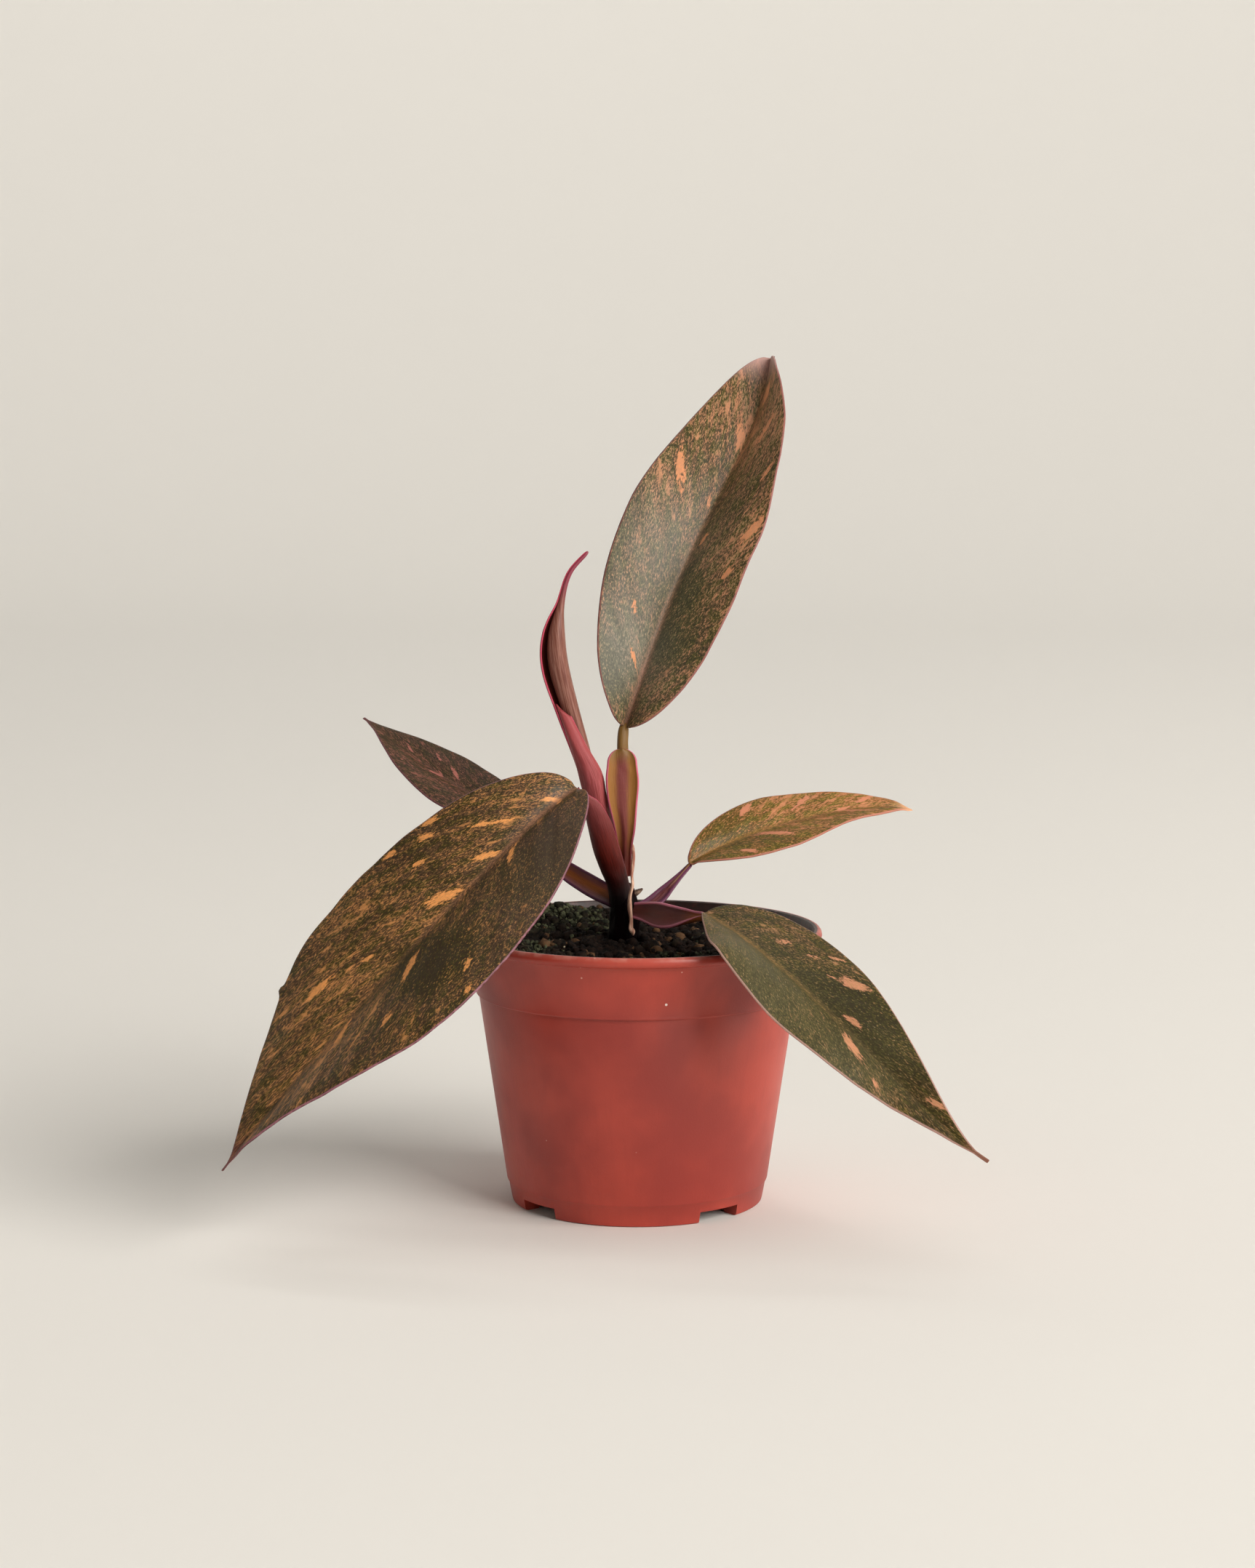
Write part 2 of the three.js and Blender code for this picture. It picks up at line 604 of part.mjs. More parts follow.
const nodes = [
  ['pot', potSolid(), 0xb04f43, 0.42],
  ['soil', soilSolid(), 0x2c241c, 0.95],
  ['stem', stemSolid(0), 0x5a2530, 0.45],
  ['top_petiole', cutBy(topPetioleSolid, [stemRoom]), 0x8a6a34, 0.45],
  ['new_leaf_sheath', cutBy(troughSolid(newLeafSheath), [stemRoom, topPetioleRoom]), 0xc2676b, 0.4],
  ['new_leaf', cutBy(rollSolid(), [stemRoom, topPetioleRoom, sheathRoom]), 0x8c4a48, 0.4],
  ['dried_strand', cutBy(stalkSolid(strand, strandSteps), [stemRoom]), 0xc9a890, 0.85],
  ['top_leaf', bladeSolid(topLeaf), 0x5d5a3a, 0.38],
  ['left_leaf', bladeSolid(leftLeaf), 0x55543a, 0.38],
  ['front_right_leaf', bladeSolid(frontRightLeaf), 0x55573c, 0.38],
  ['back_right_leaf', bladeSolid(backRightLeaf), 0x7d7a3c, 0.38],
  ['back_left_leaf', bladeSolid(backLeftLeaf), 0x5e4f3c, 0.38],
];

const plant = new THREE.Group();
for (const [name, solid, color, roughness] of nodes) {
  const material = new THREE.MeshStandardMaterial({ color, roughness, metalness: 0 });
  const mesh = new THREE.Mesh(geometryFrom(solid), material);
  mesh.name = name;
  plant.add(mesh);
}

export default plant;
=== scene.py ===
import math
import random

import bmesh
import bpy
from mathutils import Matrix, Vector, noise


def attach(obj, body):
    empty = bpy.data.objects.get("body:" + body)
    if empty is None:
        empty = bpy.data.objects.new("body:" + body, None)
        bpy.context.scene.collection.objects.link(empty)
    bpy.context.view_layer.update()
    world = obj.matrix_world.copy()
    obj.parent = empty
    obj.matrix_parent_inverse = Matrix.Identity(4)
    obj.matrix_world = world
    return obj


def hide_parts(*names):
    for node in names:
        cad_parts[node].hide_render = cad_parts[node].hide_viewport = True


mm = 0.001
fullTurn = 2 * math.pi
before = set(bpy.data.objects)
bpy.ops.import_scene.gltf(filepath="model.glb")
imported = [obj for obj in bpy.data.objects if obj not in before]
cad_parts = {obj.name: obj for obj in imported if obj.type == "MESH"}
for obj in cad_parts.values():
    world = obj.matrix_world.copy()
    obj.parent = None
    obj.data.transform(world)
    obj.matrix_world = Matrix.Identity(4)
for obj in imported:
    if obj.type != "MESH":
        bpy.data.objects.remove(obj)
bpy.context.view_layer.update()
print("frame loaded:", len(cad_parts), "nodes")


# Helpers for curves

def stationsAt(stations, t):
    # smooth value at t from 0 to 1 through rows of numbers
    last = len(stations) - 1
    k = min(int(t * last), last - 1)
    u = t * last - k
    p1, p2 = stations[k], stations[k + 1]
    p0 = stations[k - 1] if k > 0 else [2 * a - b for a, b in zip(p1, p2)]
    p3 = stations[k + 2] if k + 2 <= last else [2 * b - a for a, b in zip(p1, p2)]
    row = []
    for a, b, c, d in zip(p0, p1, p2, p3):
        slope1, slope2, rise = (c - a) / 2, (d - b) / 2, c - b
        cubic = slope1 + slope2 - 2 * rise
        square = 3 * rise - 2 * slope1 - slope2
        row.append(b + u * (slope1 + u * (square + u * cubic)))
    return row


def bezierAt(points, t):
    points = [Vector(p) for p in points]
    while len(points) > 1:
        points = [a.lerp(b, t) for a, b in zip(points, points[1:])]
    return points[0]


def smoothStep(low, high, x):
    t = min(max((x - low) / (high - low), 0), 1)
    return t * t * (3 - 2 * t)


def bell(x, width):
    return math.exp(-(x / width) ** 2)


def crowd(t, amount):
    # even steps from 0 to 1 drawn towards both ends
    return t - amount * math.sin(fullTurn * t) / fullTurn


def rounded(x, power=2):
    # falls from 1 at x = 0 to 0 at x = 1, as a circle does when power is 2
    return math.sqrt(max(0.0, 1 - x ** power))


def ripple(seed, *place):
    return noise.noise(Vector(place) + Vector((seed, 0.37 * seed, 0.61 * seed)))


tangentStep = 0.02


def alongCurve(stations, t):
    # the row at t, and two directions square to the curve and to each other
    before = Vector(stationsAt(stations, max(t - tangentStep, 0))[:3])
    after = Vector(stationsAt(stations, min(t + tangentStep, 1))[:3])
    tangent = (after - before).normalized()
    side = Vector((0, 1, 0)).cross(tangent).normalized()
    return stationsAt(stations, t), side, tangent.cross(side)


def acrossFaces(turn):
    # the first half turn crosses the outer or upper face, and the second comes back across the other
    outside = turn <= 0.5
    return outside, 2 * turn if outside else 2 - 2 * turn


# Helpers for meshes

def closedGrid(around, rows, placeAt, channels):
    # a grid whose first and last columns meet; placeAt(turn, step) gives the point and its attributes
    bm = bmesh.new()
    bmesh.ops.create_grid(bm, x_segments=around, y_segments=rows, size=1)
    layers = []
    for channel in channels:
        layers.append(bm.verts.layers.float_vector.new(channel))
    for vert in bm.verts:
        turn, step = (vert.co.x + 1) / 2, (vert.co.y + 1) / 2
        point, values = placeAt(turn, step)
        vert.co = point * mm
        for layer, value in zip(layers, values):
            vert[layer] = value
    bmesh.ops.remove_doubles(bm, verts=bm.verts, dist=0.004 * mm)
    rim = [edge for edge in bm.edges if edge.is_boundary]
    if rim:
        bmesh.ops.holes_fill(bm, edges=rim, sides=0)
    bmesh.ops.recalc_face_normals(bm, faces=bm.faces)
    return bm


def meshFrom(bm, name):
    mesh = bpy.data.meshes.new(name)
    bm.to_mesh(mesh)
    bm.free()
    return mesh


def addObject(name, data):
    made = bpy.data.objects.new(name, data)
    bpy.context.collection.objects.link(made)
    return made


def addPiece(name, bm, material):
    for face in bm.faces:
        face.smooth = True
    piece = addObject(name, meshFrom(bm, name))
    piece.data.materials.append(material)
    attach(piece, "root")
    return piece


# Helpers for materials

def linearColour(screen):
    channels = []
    for value in screen:
        part = value / 255
        channels.append(part / 12.92 if part <= 0.04045 else ((part + 0.055) / 1.055) ** 2.4)
    return (*channels, 1)


class Finish:
    # a material and short calls for its nodes

    def __init__(self, name, roughness, specular=0.5):
        self.material = bpy.data.materials.new(name)
        self.material.use_nodes = True
        self.tree = self.material.node_tree
        self.shader = self.tree.nodes["Principled BSDF"]
        self.shader.inputs["Roughness"].default_value = roughness
        self.shader.inputs["Specular IOR Level"].default_value = specular

    def put(self, socket, value):
        if isinstance(value, bpy.types.NodeSocket):
            self.tree.links.new(value, socket)
        elif value is not None:
            socket.default_value = value

    def attribute(self, name):
        node = self.tree.nodes.new("ShaderNodeAttribute")
        node.attribute_name = name
        return node.outputs["Vector"]

    def parts(self, vector):
        node = self.tree.nodes.new("ShaderNodeSeparateXYZ")
        self.put(node.inputs[0], vector)
        return node.outputs

    def objectPlace(self):
        return self.tree.nodes.new("ShaderNodeTexCoord").outputs["Object"]

    def scaled(self, vector, scale, shift=(0, 0, 0)):
        node = self.tree.nodes.new("ShaderNodeMapping")
        self.put(node.inputs["Vector"], vector)
        node.inputs["Scale"].default_value = scale
        node.inputs["Location"].default_value = shift
        return node.outputs[0]

    def noise(self, vector, scale=1, detail=2, roughness=0.5, distortion=0):
        node = self.tree.nodes.new("ShaderNodeTexNoise")
        self.put(node.inputs["Vector"], vector)
        node.inputs["Scale"].default_value = scale
        node.inputs["Detail"].default_value = detail
        node.inputs["Roughness"].default_value = roughness
        node.inputs["Distortion"].default_value = distortion
        return node.outputs[0]

    def reach(self, vector):
        node = self.tree.nodes.new("ShaderNodeVectorMath")
        node.operation = "LENGTH"
        self.put(node.inputs[0], vector)
        return node.outputs["Value"]

    def cells(self, vector, scale):
        node = self.tree.nodes.new("ShaderNodeTexVoronoi")
        self.put(node.inputs["Vector"], vector)
        node.inputs["Scale"].default_value = scale
        return node.outputs["Distance"]

    def math(self, operation, a, b=None, c=None):
        node = self.tree.nodes.new("ShaderNodeMath")
        node.operation = operation
        for socket, value in zip(node.inputs, (a, b, c)):
            self.put(socket, value)
        return node.outputs[0]

    def times(self, a, b):
        return self.math("MULTIPLY", a, b)

    def swing(self, pattern, amount, base):
        # base, raised and lowered as the pattern moves about its middle of 0.5
        return self.math("MULTIPLY_ADD", self.math("SUBTRACT", pattern, 0.5), amount, base)

    def between(self, value, low, high, toLow=0, toHigh=1):
        # smooth change of value from low to high, which may run downwards
        node = self.tree.nodes.new("ShaderNodeMapRange")
        node.interpolation_type = "SMOOTHSTEP"
        for socket, part in zip(node.inputs, (value, low, high, toLow, toHigh)):
            self.put(socket, part)
        return node.outputs[0]

    def mix(self, factor, first, second):
        # each side is a socket or a screen colour
        node = self.tree.nodes.new("ShaderNodeMix")
        node.data_type = "RGBA"
        self.put(node.inputs["Factor"], factor)
        for socket, side in ((node.inputs[6], first), (node.inputs[7], second)):
            self.put(socket, linearColour(side) if isinstance(side, tuple) else side)
        return node.outputs[2]

    def bump(self, height, distance, strength):
        node = self.tree.nodes.new("ShaderNodeBump")
        self.put(node.inputs["Height"], height)
        node.inputs["Distance"].default_value = distance
        node.inputs["Strength"].default_value = strength
        self.put(self.shader.inputs["Normal"], node.outputs[0])

    def finish(self, base, roughness=None):
        self.put(self.shader.inputs["Base Color"], base)
        if roughness is not None:
            self.put(self.shader.inputs["Roughness"], roughness)
        return self.material


# Pot

pot = {
    "rimRadius": 30, "height": 44.6, "wall": 1, "floor": 1.2, "footRadius": 20.5, "footRaised": 0.35,
    "footLineRadius": 21.3, "footLineHeight": 3.6, "footInset": 0.25,
    "collarFootRadius": 26.15, "collarFootHeight": 34.5, "collarStep": 0.45,
    "collarTopRadius": 28.4, "collarTopHeight": 42.4,
    "lipInner": 28.6, "lipCrest": 29.3, "lipUnderside": 42.9,
    "segments": 144, "sharpFrom": 38,
    "notchCount": 4, "notchWidth": 7.8, "notchHeight": 1.9, "notchDepth": 5, "notchAngle": 39.5,
    # the pale pink marks real dust specks, and on the lip top it is partly wear and partly a painted
    # highlight
    "roughness": 0.42, "colour": (170, 60, 45), "deepColour": (144, 46, 36), "dustAndHighlight": (205, 150, 135),
    # the inner-wall tone, its cone and its fade are painted shade for the inside of the pot below the rim
    "lipWearAndHighlightFrom": 43.8, "lipWearAndHighlightFull": 44.5, "paintedInnerShade": (46, 26, 20), "paintedInnerShadeSlope": 0.55, "paintedInnerShadeFoot": 4.22,
    "paintedInnerShadeFrom": 0.6, "paintedInnerShadeFull": 0.4,
    "scuff": {"place": (4.4, -25.8, 36.8), "size": (0.25, 3, 0.25), "colour": (232, 214, 206)},
}


def potOutline():
    # radius and height of each corner; the small steps beside the named sizes round the moulded corners
    foot, line, lineHeight = pot["footRadius"], pot["footLineRadius"], pot["footLineHeight"]
    collar, foldHeight, collarTop = pot["collarFootRadius"], pot["collarFootHeight"], pot["collarTopRadius"]
    wallTop = collar - pot["collarStep"]
    rim, height, underside, lip = pot["rimRadius"], pot["height"], pot["lipUnderside"], pot["lipInner"]
    wall, floor, raised = pot["wall"], pot["floor"], pot["footRaised"]
    footRing = [
        (0, raised), (foot - 3, raised), (foot - 2.6, 0), (foot - 0.45, 0), (foot - 0.1, 0.15), (foot, 0.5),
    ]
    footLine = [
        (line - pot["footInset"], lineHeight - 0.25), (line - 0.08, lineHeight - 0.1),
        (line, lineHeight + 0.1),
    ]
    collarFold = [
        (wallTop, foldHeight - 0.9), (wallTop - 0.1, foldHeight - 0.55), (wallTop - 0.06, foldHeight - 0.3),
        (collar - 0.08, foldHeight - 0.26), (collar + 0.06, foldHeight - 0.12),
        (collar + 0.08, foldHeight + 0.1), (collar, foldHeight + 0.4), (collarTop, pot["collarTopHeight"]),
    ]
    turnedRim = [
        (collarTop + 0.3, underside - 0.1), (rim - 0.45, underside + 0.1), (rim - 0.1, underside + 0.4),
        (rim, underside + 0.8), (rim - 0.1, height - 0.4), (rim - 0.32, height - 0.1),
        (pot["lipCrest"] + 0.2, height), (pot["lipCrest"] - 0.2, height),
        (lip + 0.2, height - 0.12), (lip, height - 0.5), (lip - 0.3, pot["collarTopHeight"] + 0.6),
    ]
    inside = [
        (collarTop - wall, pot["collarTopHeight"]), (collar - wall, foldHeight),
        (wallTop - wall, foldHeight - 0.6), (foot - wall + 0.4, floor + 0.6),
        (foot - wall - 0.4, floor), (0, floor),
    ]
    return footRing + footLine + collarFold + turnedRim + inside


def potFinish():
    look = Finish("terracottaPlastic", pot["roughness"])
    place = look.objectPlace()
    height = look.parts(place)[2]
    clouds = look.noise(place, 60, 3)
    grain = look.noise(place, 2600, 2, 0.7)
    streaks = look.noise(look.scaled(place, (1, 1, 0.08)), 900, 3, 0.6)
    tone = look.mix(look.between(clouds, 0.35, 0.65), pot["colour"], pot["deepColour"])
    tone = look.mix(look.between(streaks, 0.45, 0.8, 0, 0.25), tone, pot["deepColour"])
    specks = look.between(look.cells(place, 260), 0.05, 0.03)
    few = look.between(look.noise(place, 95, 1), 0.6, 0.66)
    tone = look.mix(look.times(specks, few), tone, pot["dustAndHighlight"])
    # the lip top: pale pink rubs, partly real wear and partly a painted highlight where light falls on the
    # crest
    wornAndLitTop = look.between(height, pot["lipWearAndHighlightFrom"] * mm, pot["lipWearAndHighlightFull"] * mm)
    lipWearAndHighlight = look.times(wornAndLitTop, look.between(look.noise(place, 380, 3), 0.4, 0.6, 0.3, 1))
    tone = look.mix(look.times(lipWearAndHighlight, 0.4), tone, pot["dustAndHighlight"])
    # painted shade on the inner wall: a dark soil-brown, broken into patches, stands in for the shade below
    # the rim; the inner wall lies inside a cone between the two faces of the wall
    across = look.reach(look.scaled(place, (1, 1, 0)))
    beyondCone = look.math("SUBTRACT", across, pot["paintedInnerShadeFoot"] * mm)
    inner = look.math("MULTIPLY_ADD", height, -pot["paintedInnerShadeSlope"], beyondCone)
    paintedInnerShade = look.between(inner, pot["paintedInnerShadeFrom"] * mm, pot["paintedInnerShadeFull"] * mm)
    patches = look.between(look.noise(place, 330, 4, 0.7), 0.3, 0.55, 0.8, 1)
    tone = look.mix(look.times(paintedInnerShade, patches), tone, pot["paintedInnerShade"])
    scuff = pot["scuff"]
    scuffScale = [1 / (size * mm) for size in scuff["size"]]
    scuffShift = [-spot / size for spot, size in zip(scuff["place"], scuff["size"])]
    scuffed = look.between(look.reach(look.scaled(place, scuffScale, scuffShift)), 1, 0.6)
    tone = look.mix(scuffed, tone, scuff["colour"])
    look.bump(look.math("MULTIPLY_ADD", streaks, 0.5, grain), 0.03 * mm, 0.6)
    return look.finish(tone, look.between(clouds, 0.3, 0.7, pot["roughness"] - 0.04, pot["roughness"] + 0.06))


def makePot():
    bm = bmesh.new()
    corners = [bm.verts.new((radius * mm, 0, z * mm)) for radius, z in potOutline()]
    edges = [bm.edges.new(pair) for pair in zip(corners, corners[1:])]
    bmesh.ops.spin(
        bm, geom=corners + edges, cent=(0, 0, 0), axis=(0, 0, 1), angle=fullTurn,
        steps=pot["segments"], use_merge=True)
    bmesh.ops.remove_doubles(bm, verts=bm.verts, dist=0.01 * mm)
    bmesh.ops.recalc_face_normals(bm, faces=bm.faces)
    piece = addPiece("nurseryPot", bm, potFinish())
    cutDrainNotches(piece)
    piece.data.set_sharp_from_angle(angle=math.radians(pot["sharpFrom"]))
    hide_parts("pot")
    return piece


def cutDrainNotches(piece):
    bm = bmesh.new()
    size = (2 * pot["notchDepth"], pot["notchWidth"], 2 * pot["notchHeight"])
    for k in range(pot["notchCount"]):
        angle = math.radians(pot["notchAngle"] + 360 * k / pot["notchCount"])
        place = Matrix.Rotation(angle, 4, "Z") @ Matrix.Translation((pot["footRadius"] * mm, 0, 0))
        block = bmesh.ops.create_cube(bm, size=1)["verts"]
        bmesh.ops.scale(bm, vec=[s * mm for s in size], verts=block)
        bmesh.ops.transform(bm, matrix=place, verts=block)
    cutter = addObject("drainCutter", meshFrom(bm, "drainCutter"))
    cut = piece.modifiers.new("drain", "BOOLEAN")
    cut.operation, cut.object, cut.solver = "DIFFERENCE", cutter, "EXACT"
    bpy.context.view_layer.update()
    shown = piece.evaluated_get(bpy.context.evaluated_depsgraph_get())
    result = bpy.data.meshes.new_from_object(shown)
    piece.modifiers.clear()
    piece.data = result
    bpy.data.objects.remove(cutter)


makePot()
print("pot made")


# Potting mix

soil = {
    "level": 41.6, "edgeRadius": 26.95, "stemMound": (-2.2, 0, 1.4, 7), "rimMound": (-13, 22, 3, 10),
    "lumpHeight": 0.45, "lumpLength": 5.2, "depth": 3.5, "stemRoom": 3.6,
    "rings": 96, "around": 300, "edgeDrop": 0.5, "wallRoom": 1.2,
    "crumbHeight": 0.55, "crumbRates": (0.9, 1.7, 4.1), "crumbShares": (0.7, 0.5, 0.35),
    "crumbs": 1100, "crumbSize": 0.32, "crumbSpread": 0.75, "crumbSunk": 0.15, "crumbRough": 0.45,
    "crumbSeed": 7, "tanShare": 0.12,
    "tufts": 1200, "tuftSize": 0.14, "tuftSpread": 0.26, "tuftRaised": 0.3, "tuftSeed": 11,
    "mossSpots": [(-15, 19, 8, 1), (-6, 12, 5, 0.7), (8, -14, 5, 0.6), (-17, -4, 4, 0.5), (15, 6, 5, 0.5),
                  (1, -20, 4, 0.6), (17, -12, 4, 0.5)],
    "darkColour": (5, 3, 2), "brownColour": (32, 20, 14), "greyColour": (72, 64, 48),
    "mossColour": (28, 29, 19), "mossTip": (80, 82, 58),
    "paleColour": (204, 192, 160), "barkColour": (94, 68, 46),
}


def mossAt(x, y):
    shares = []
    for spotX, spotY, reach, amount in soil["mossSpots"]:
        shares.append(amount * bell(math.hypot(x - spotX, y - spotY), reach))
    return max(shares)


def soilHeight(x, y):
    u, v = x / soil["lumpLength"], y / soil["lumpLength"]
    lumps = math.sin(2.1 * u + 1.3 * v) * math.cos(1.7 * v - 0.8 * u)
    lumps += 0.6 * math.sin(4.3 * u - 2.9 * v + 1) * math.sin(3.7 * v + 1.9 * u)
    height = soil["level"] + soil["lumpHeight"] * lumps
    for moundX, moundY, rise, spread in (soil["stemMound"], soil["rimMound"]):
        height += rise * bell(math.hypot(x - moundX, y - moundY), spread)
    return height


def crumbRise(x, y):
    slow, middle, fast = soil["crumbRates"]
    coarse = noise.noise(Vector((x * slow, y * slow, 3)))
    medium = 1 - abs(noise.noise(Vector((x * middle, y * middle, 8)))) * 2
    fine = noise.noise(Vector((x * fast, y * fast, 5)))
    first, second, third = soil["crumbShares"]
    return soil["crumbHeight"] * (first * coarse + second * medium + third * fine)


def soilFinish():
    look = Finish("pottingMix", 0.9, 0.12)
    place = look.objectPlace()
    moss, tan = look.parts(look.attribute("moss"))[:2]
    grains = look.noise(place, 900, 4, 0.65)
    lumps = look.noise(place, 260, 2)
    tone = look.mix(look.between(grains, 0.35, 0.65), soil["darkColour"], soil["brownColour"])
    tone = look.mix(look.between(lumps, 0.58, 0.74, 0, 0.35), tone, soil["greyColour"])
    tanned = look.times(tan, look.between(grains, 0.3, 0.6, 0.3, 0.9))
    tone = look.mix(tanned, tone, soil["barkColour"])
    flecks = look.between(look.cells(place, 750), 0.16, 0.08)
    rare = look.between(look.noise(place, 330, 1), 0.58, 0.64)
    tone = look.mix(look.times(flecks, rare), tone, soil["paleColour"])
    green = look.mix(look.between(grains, 0.35, 0.7), soil["mossColour"], soil["mossTip"])
    patchy = look.times(moss, look.between(look.noise(place, 420, 3), 0.36, 0.6, 0.1, 1))
    tone = look.mix(look.times(patchy, 0.85), tone, green)
    look.bump(grains, 0.4 * mm, 0.8)
    return look.finish(tone)


def makeSoilBed(material):
    # after the rows of the top come two down the side and one that closes the underside
    topRows = soil["rings"]
    total = topRows + 3

    def placeAt(turn, step):
        angle = fullTurn * turn
        row = round(step * total)
        part = min(row / topRows, 1)
        radius = soil["edgeRadius"] * part ** 0.85
        if row == total - 1:
            radius *= 0.96
        if row == total:
            radius = 0
        x, y = radius * math.cos(angle), radius * math.sin(angle)
        z = soilHeight(x, y) + crumbRise(x, y) - soil["edgeDrop"] * smoothStep(0.97, 1, part)
        if row > topRows:
            z = soil["level"] - soil["depth"] * min(row - topRows, 2)
        return Vector((x, y, z)), [(mossAt(x, y), 0, 0)]

    return addPiece("pottingMix", closedGrid(soil["around"], total, placeAt, ["moss"]), material)


def scatterOnSoil(count, seed, keep):
    # seeded places on the mix, clear of the stem and the wall; keep(x, y) weighs each place
    draw = random.Random(seed)
    places = []
    while len(places) < count:
        radius = (soil["edgeRadius"] - soil["wallRoom"]) * math.sqrt(draw.random())
        angle = fullTurn * draw.random()
        x, y = radius * math.cos(angle), radius * math.sin(angle)
        if draw.random() < keep(x, y):
            places.append((x, y, soilHeight(x, y) + crumbRise(x, y)))
    return places, draw


def clearOfStem(x, y):
    stemX, stemY = soil["stemMound"][:2]
    return 0 if math.hypot(x - stemX, y - stemY) < soil["stemRoom"] else 1


def mossPlace(x, y):
    return clearOfStem(x, y) * mossAt(x, y) ** 1.5


def stampShapes(places, draw, stamp):
    # one mesh of many small shapes, made in small batches so that each stays quick
    whole = bmesh.new()
    batch = 60
    for start in range(0, len(places), batch):
        bm = bmesh.new()
        bm.verts.layers.float_vector.new("moss")
        for place in places[start:start + batch]:
            stamp(bm, place, draw)
        mesh = meshFrom(bm, "batch")
        whole.from_mesh(mesh)
        bpy.data.meshes.remove(mesh)
    return whole


def tilted(place, draw, size, lean=math.pi):
    turn = Matrix.Rotation(fullTurn * draw.random(), 4, "Z")
    lay = Matrix.Rotation(lean * (draw.random() - 0.5), 4, "X")
    scale = Matrix.Diagonal((*[s * mm for s in size], 1))
    return Matrix.Translation(Vector(place) * mm) @ turn @ lay @ scale


def stampCrumb(bm, place, draw):
    size = soil["crumbSize"] + soil["crumbSpread"] * draw.random() ** 2.5
    spread = [size * (0.7 + 0.7 * draw.random()) for _ in range(3)]
    level = Vector(place) - Vector((0, 0, soil["crumbSunk"] * size))
    made = bmesh.ops.create_icosphere(bm, subdivisions=2, radius=1, matrix=tilted(level, draw, spread))
    layer = bm.verts.layers.float_vector["moss"]
    seed = 40 * draw.random()
    green = mossAt(place[0], place[1]) * draw.random()
    tan = 1 if draw.random() < soil["tanShare"] and green < 0.3 else 0
    for vert in made["verts"]:
        offset = vert.co - level * mm
        bumps = noise.noise(offset / mm * 1.6 / size + Vector((seed, 0, 0)))
        vert.co = level * mm + offset * (1 + soil["crumbRough"] * bumps)
        vert[layer] = (green, tan, 0)


def stampTuft(bm, place, draw):
    # a moss cushion: a small lump with a rough, pricked surface
    size = soil["tuftSize"] + soil["tuftSpread"] * draw.random() ** 2
    level = Vector(place) + Vector((0, 0, soil["tuftRaised"] * size))
    made = bmesh.ops.create_icosphere(
        bm, subdivisions=2, radius=1, matrix=tilted(level, draw, (size, 0.8 * size, size), 1.3))
    layer = bm.verts.layers.float_vector["moss"]
    for vert in made["verts"]:
        vert.co = level * mm + (vert.co - level * mm) * (0.6 + 1.1 * draw.random())
        vert[layer] = (1, 0, 0)


def makeTopping():
    mix = soilFinish()
    bed = makeSoilBed(mix)
    places, draw = scatterOnSoil(soil["crumbs"], soil["crumbSeed"], clearOfStem)
    crumbs = addPiece("soilCrumbs", stampShapes(places, draw, stampCrumb), mix)
    places, draw = scatterOnSoil(soil["tufts"], soil["tuftSeed"], mossPlace)
    look = Finish("moss", 0.85, 0.2)
    shade = look.noise(look.objectPlace(), 500, 2)
    green = look.mix(look.between(shade, 0.35, 0.65), soil["mossColour"], soil["mossTip"])
    tufts = addPiece("mossTufts", stampShapes(places, draw, stampTuft), look.finish(green))
    return [bed, crumbs, tufts]


def simpleFinish(name, first, second, scale, roughness, stretch=(1, 1, 1)):
    look = Finish(name, roughness, 0.4)
    cloud = look.noise(look.scaled(look.objectPlace(), stretch), scale, 3, 0.6)
    look.bump(cloud, 0.1 * mm, 0.5)
    return look.finish(look.mix(look.between(cloud, 0.35, 0.65), first, second))


chips = [
    # x, y, length, width, thickness, turn, tilt in degrees, colour key
    (-13.5, -17.2, 2.6, 1.5, 0.9, 20, 8, "paleColour"),
    (-10.6, -18.6, 3.0, 0.35, 0.3, -38, 12, "paleColour"),
    (-9.0, -17.6, 2.4, 0.35, 0.3, 28, 20, "paleColour"),
    (-12.0, -20.4, 2.8, 0.4, 0.35, -50, 5, "greyColour"),
    (6.5, -17.5, 2.0, 1.1, 0.7, 60, 10, "barkColour"),
    (-3.5, -21.0, 1.8, 1.0, 0.6, 10, 15, "barkColour"),
    (11.5, -20.0, 1.6, 0.9, 0.6, -30, 10, "greyColour"),
    (-18.5, 8.0, 2.4, 1.3, 0.6, 75, 12, "greyColour"),
    (14.5, 13.0, 2.6, 1.2, 0.7, -20, 10, "barkColour"),
    (4.0, 17.5, 2.0, 1.4, 0.9, 40, 12, "greyColour"),
    (-1.3, -22.6, 1.3, 0.3, 0.3, 85, 50, "paleColour"),
]


chipShades = {"paleColour": (150, 140, 112), "greyColour": soil["brownColour"],
              "barkColour": soil["brownColour"]}


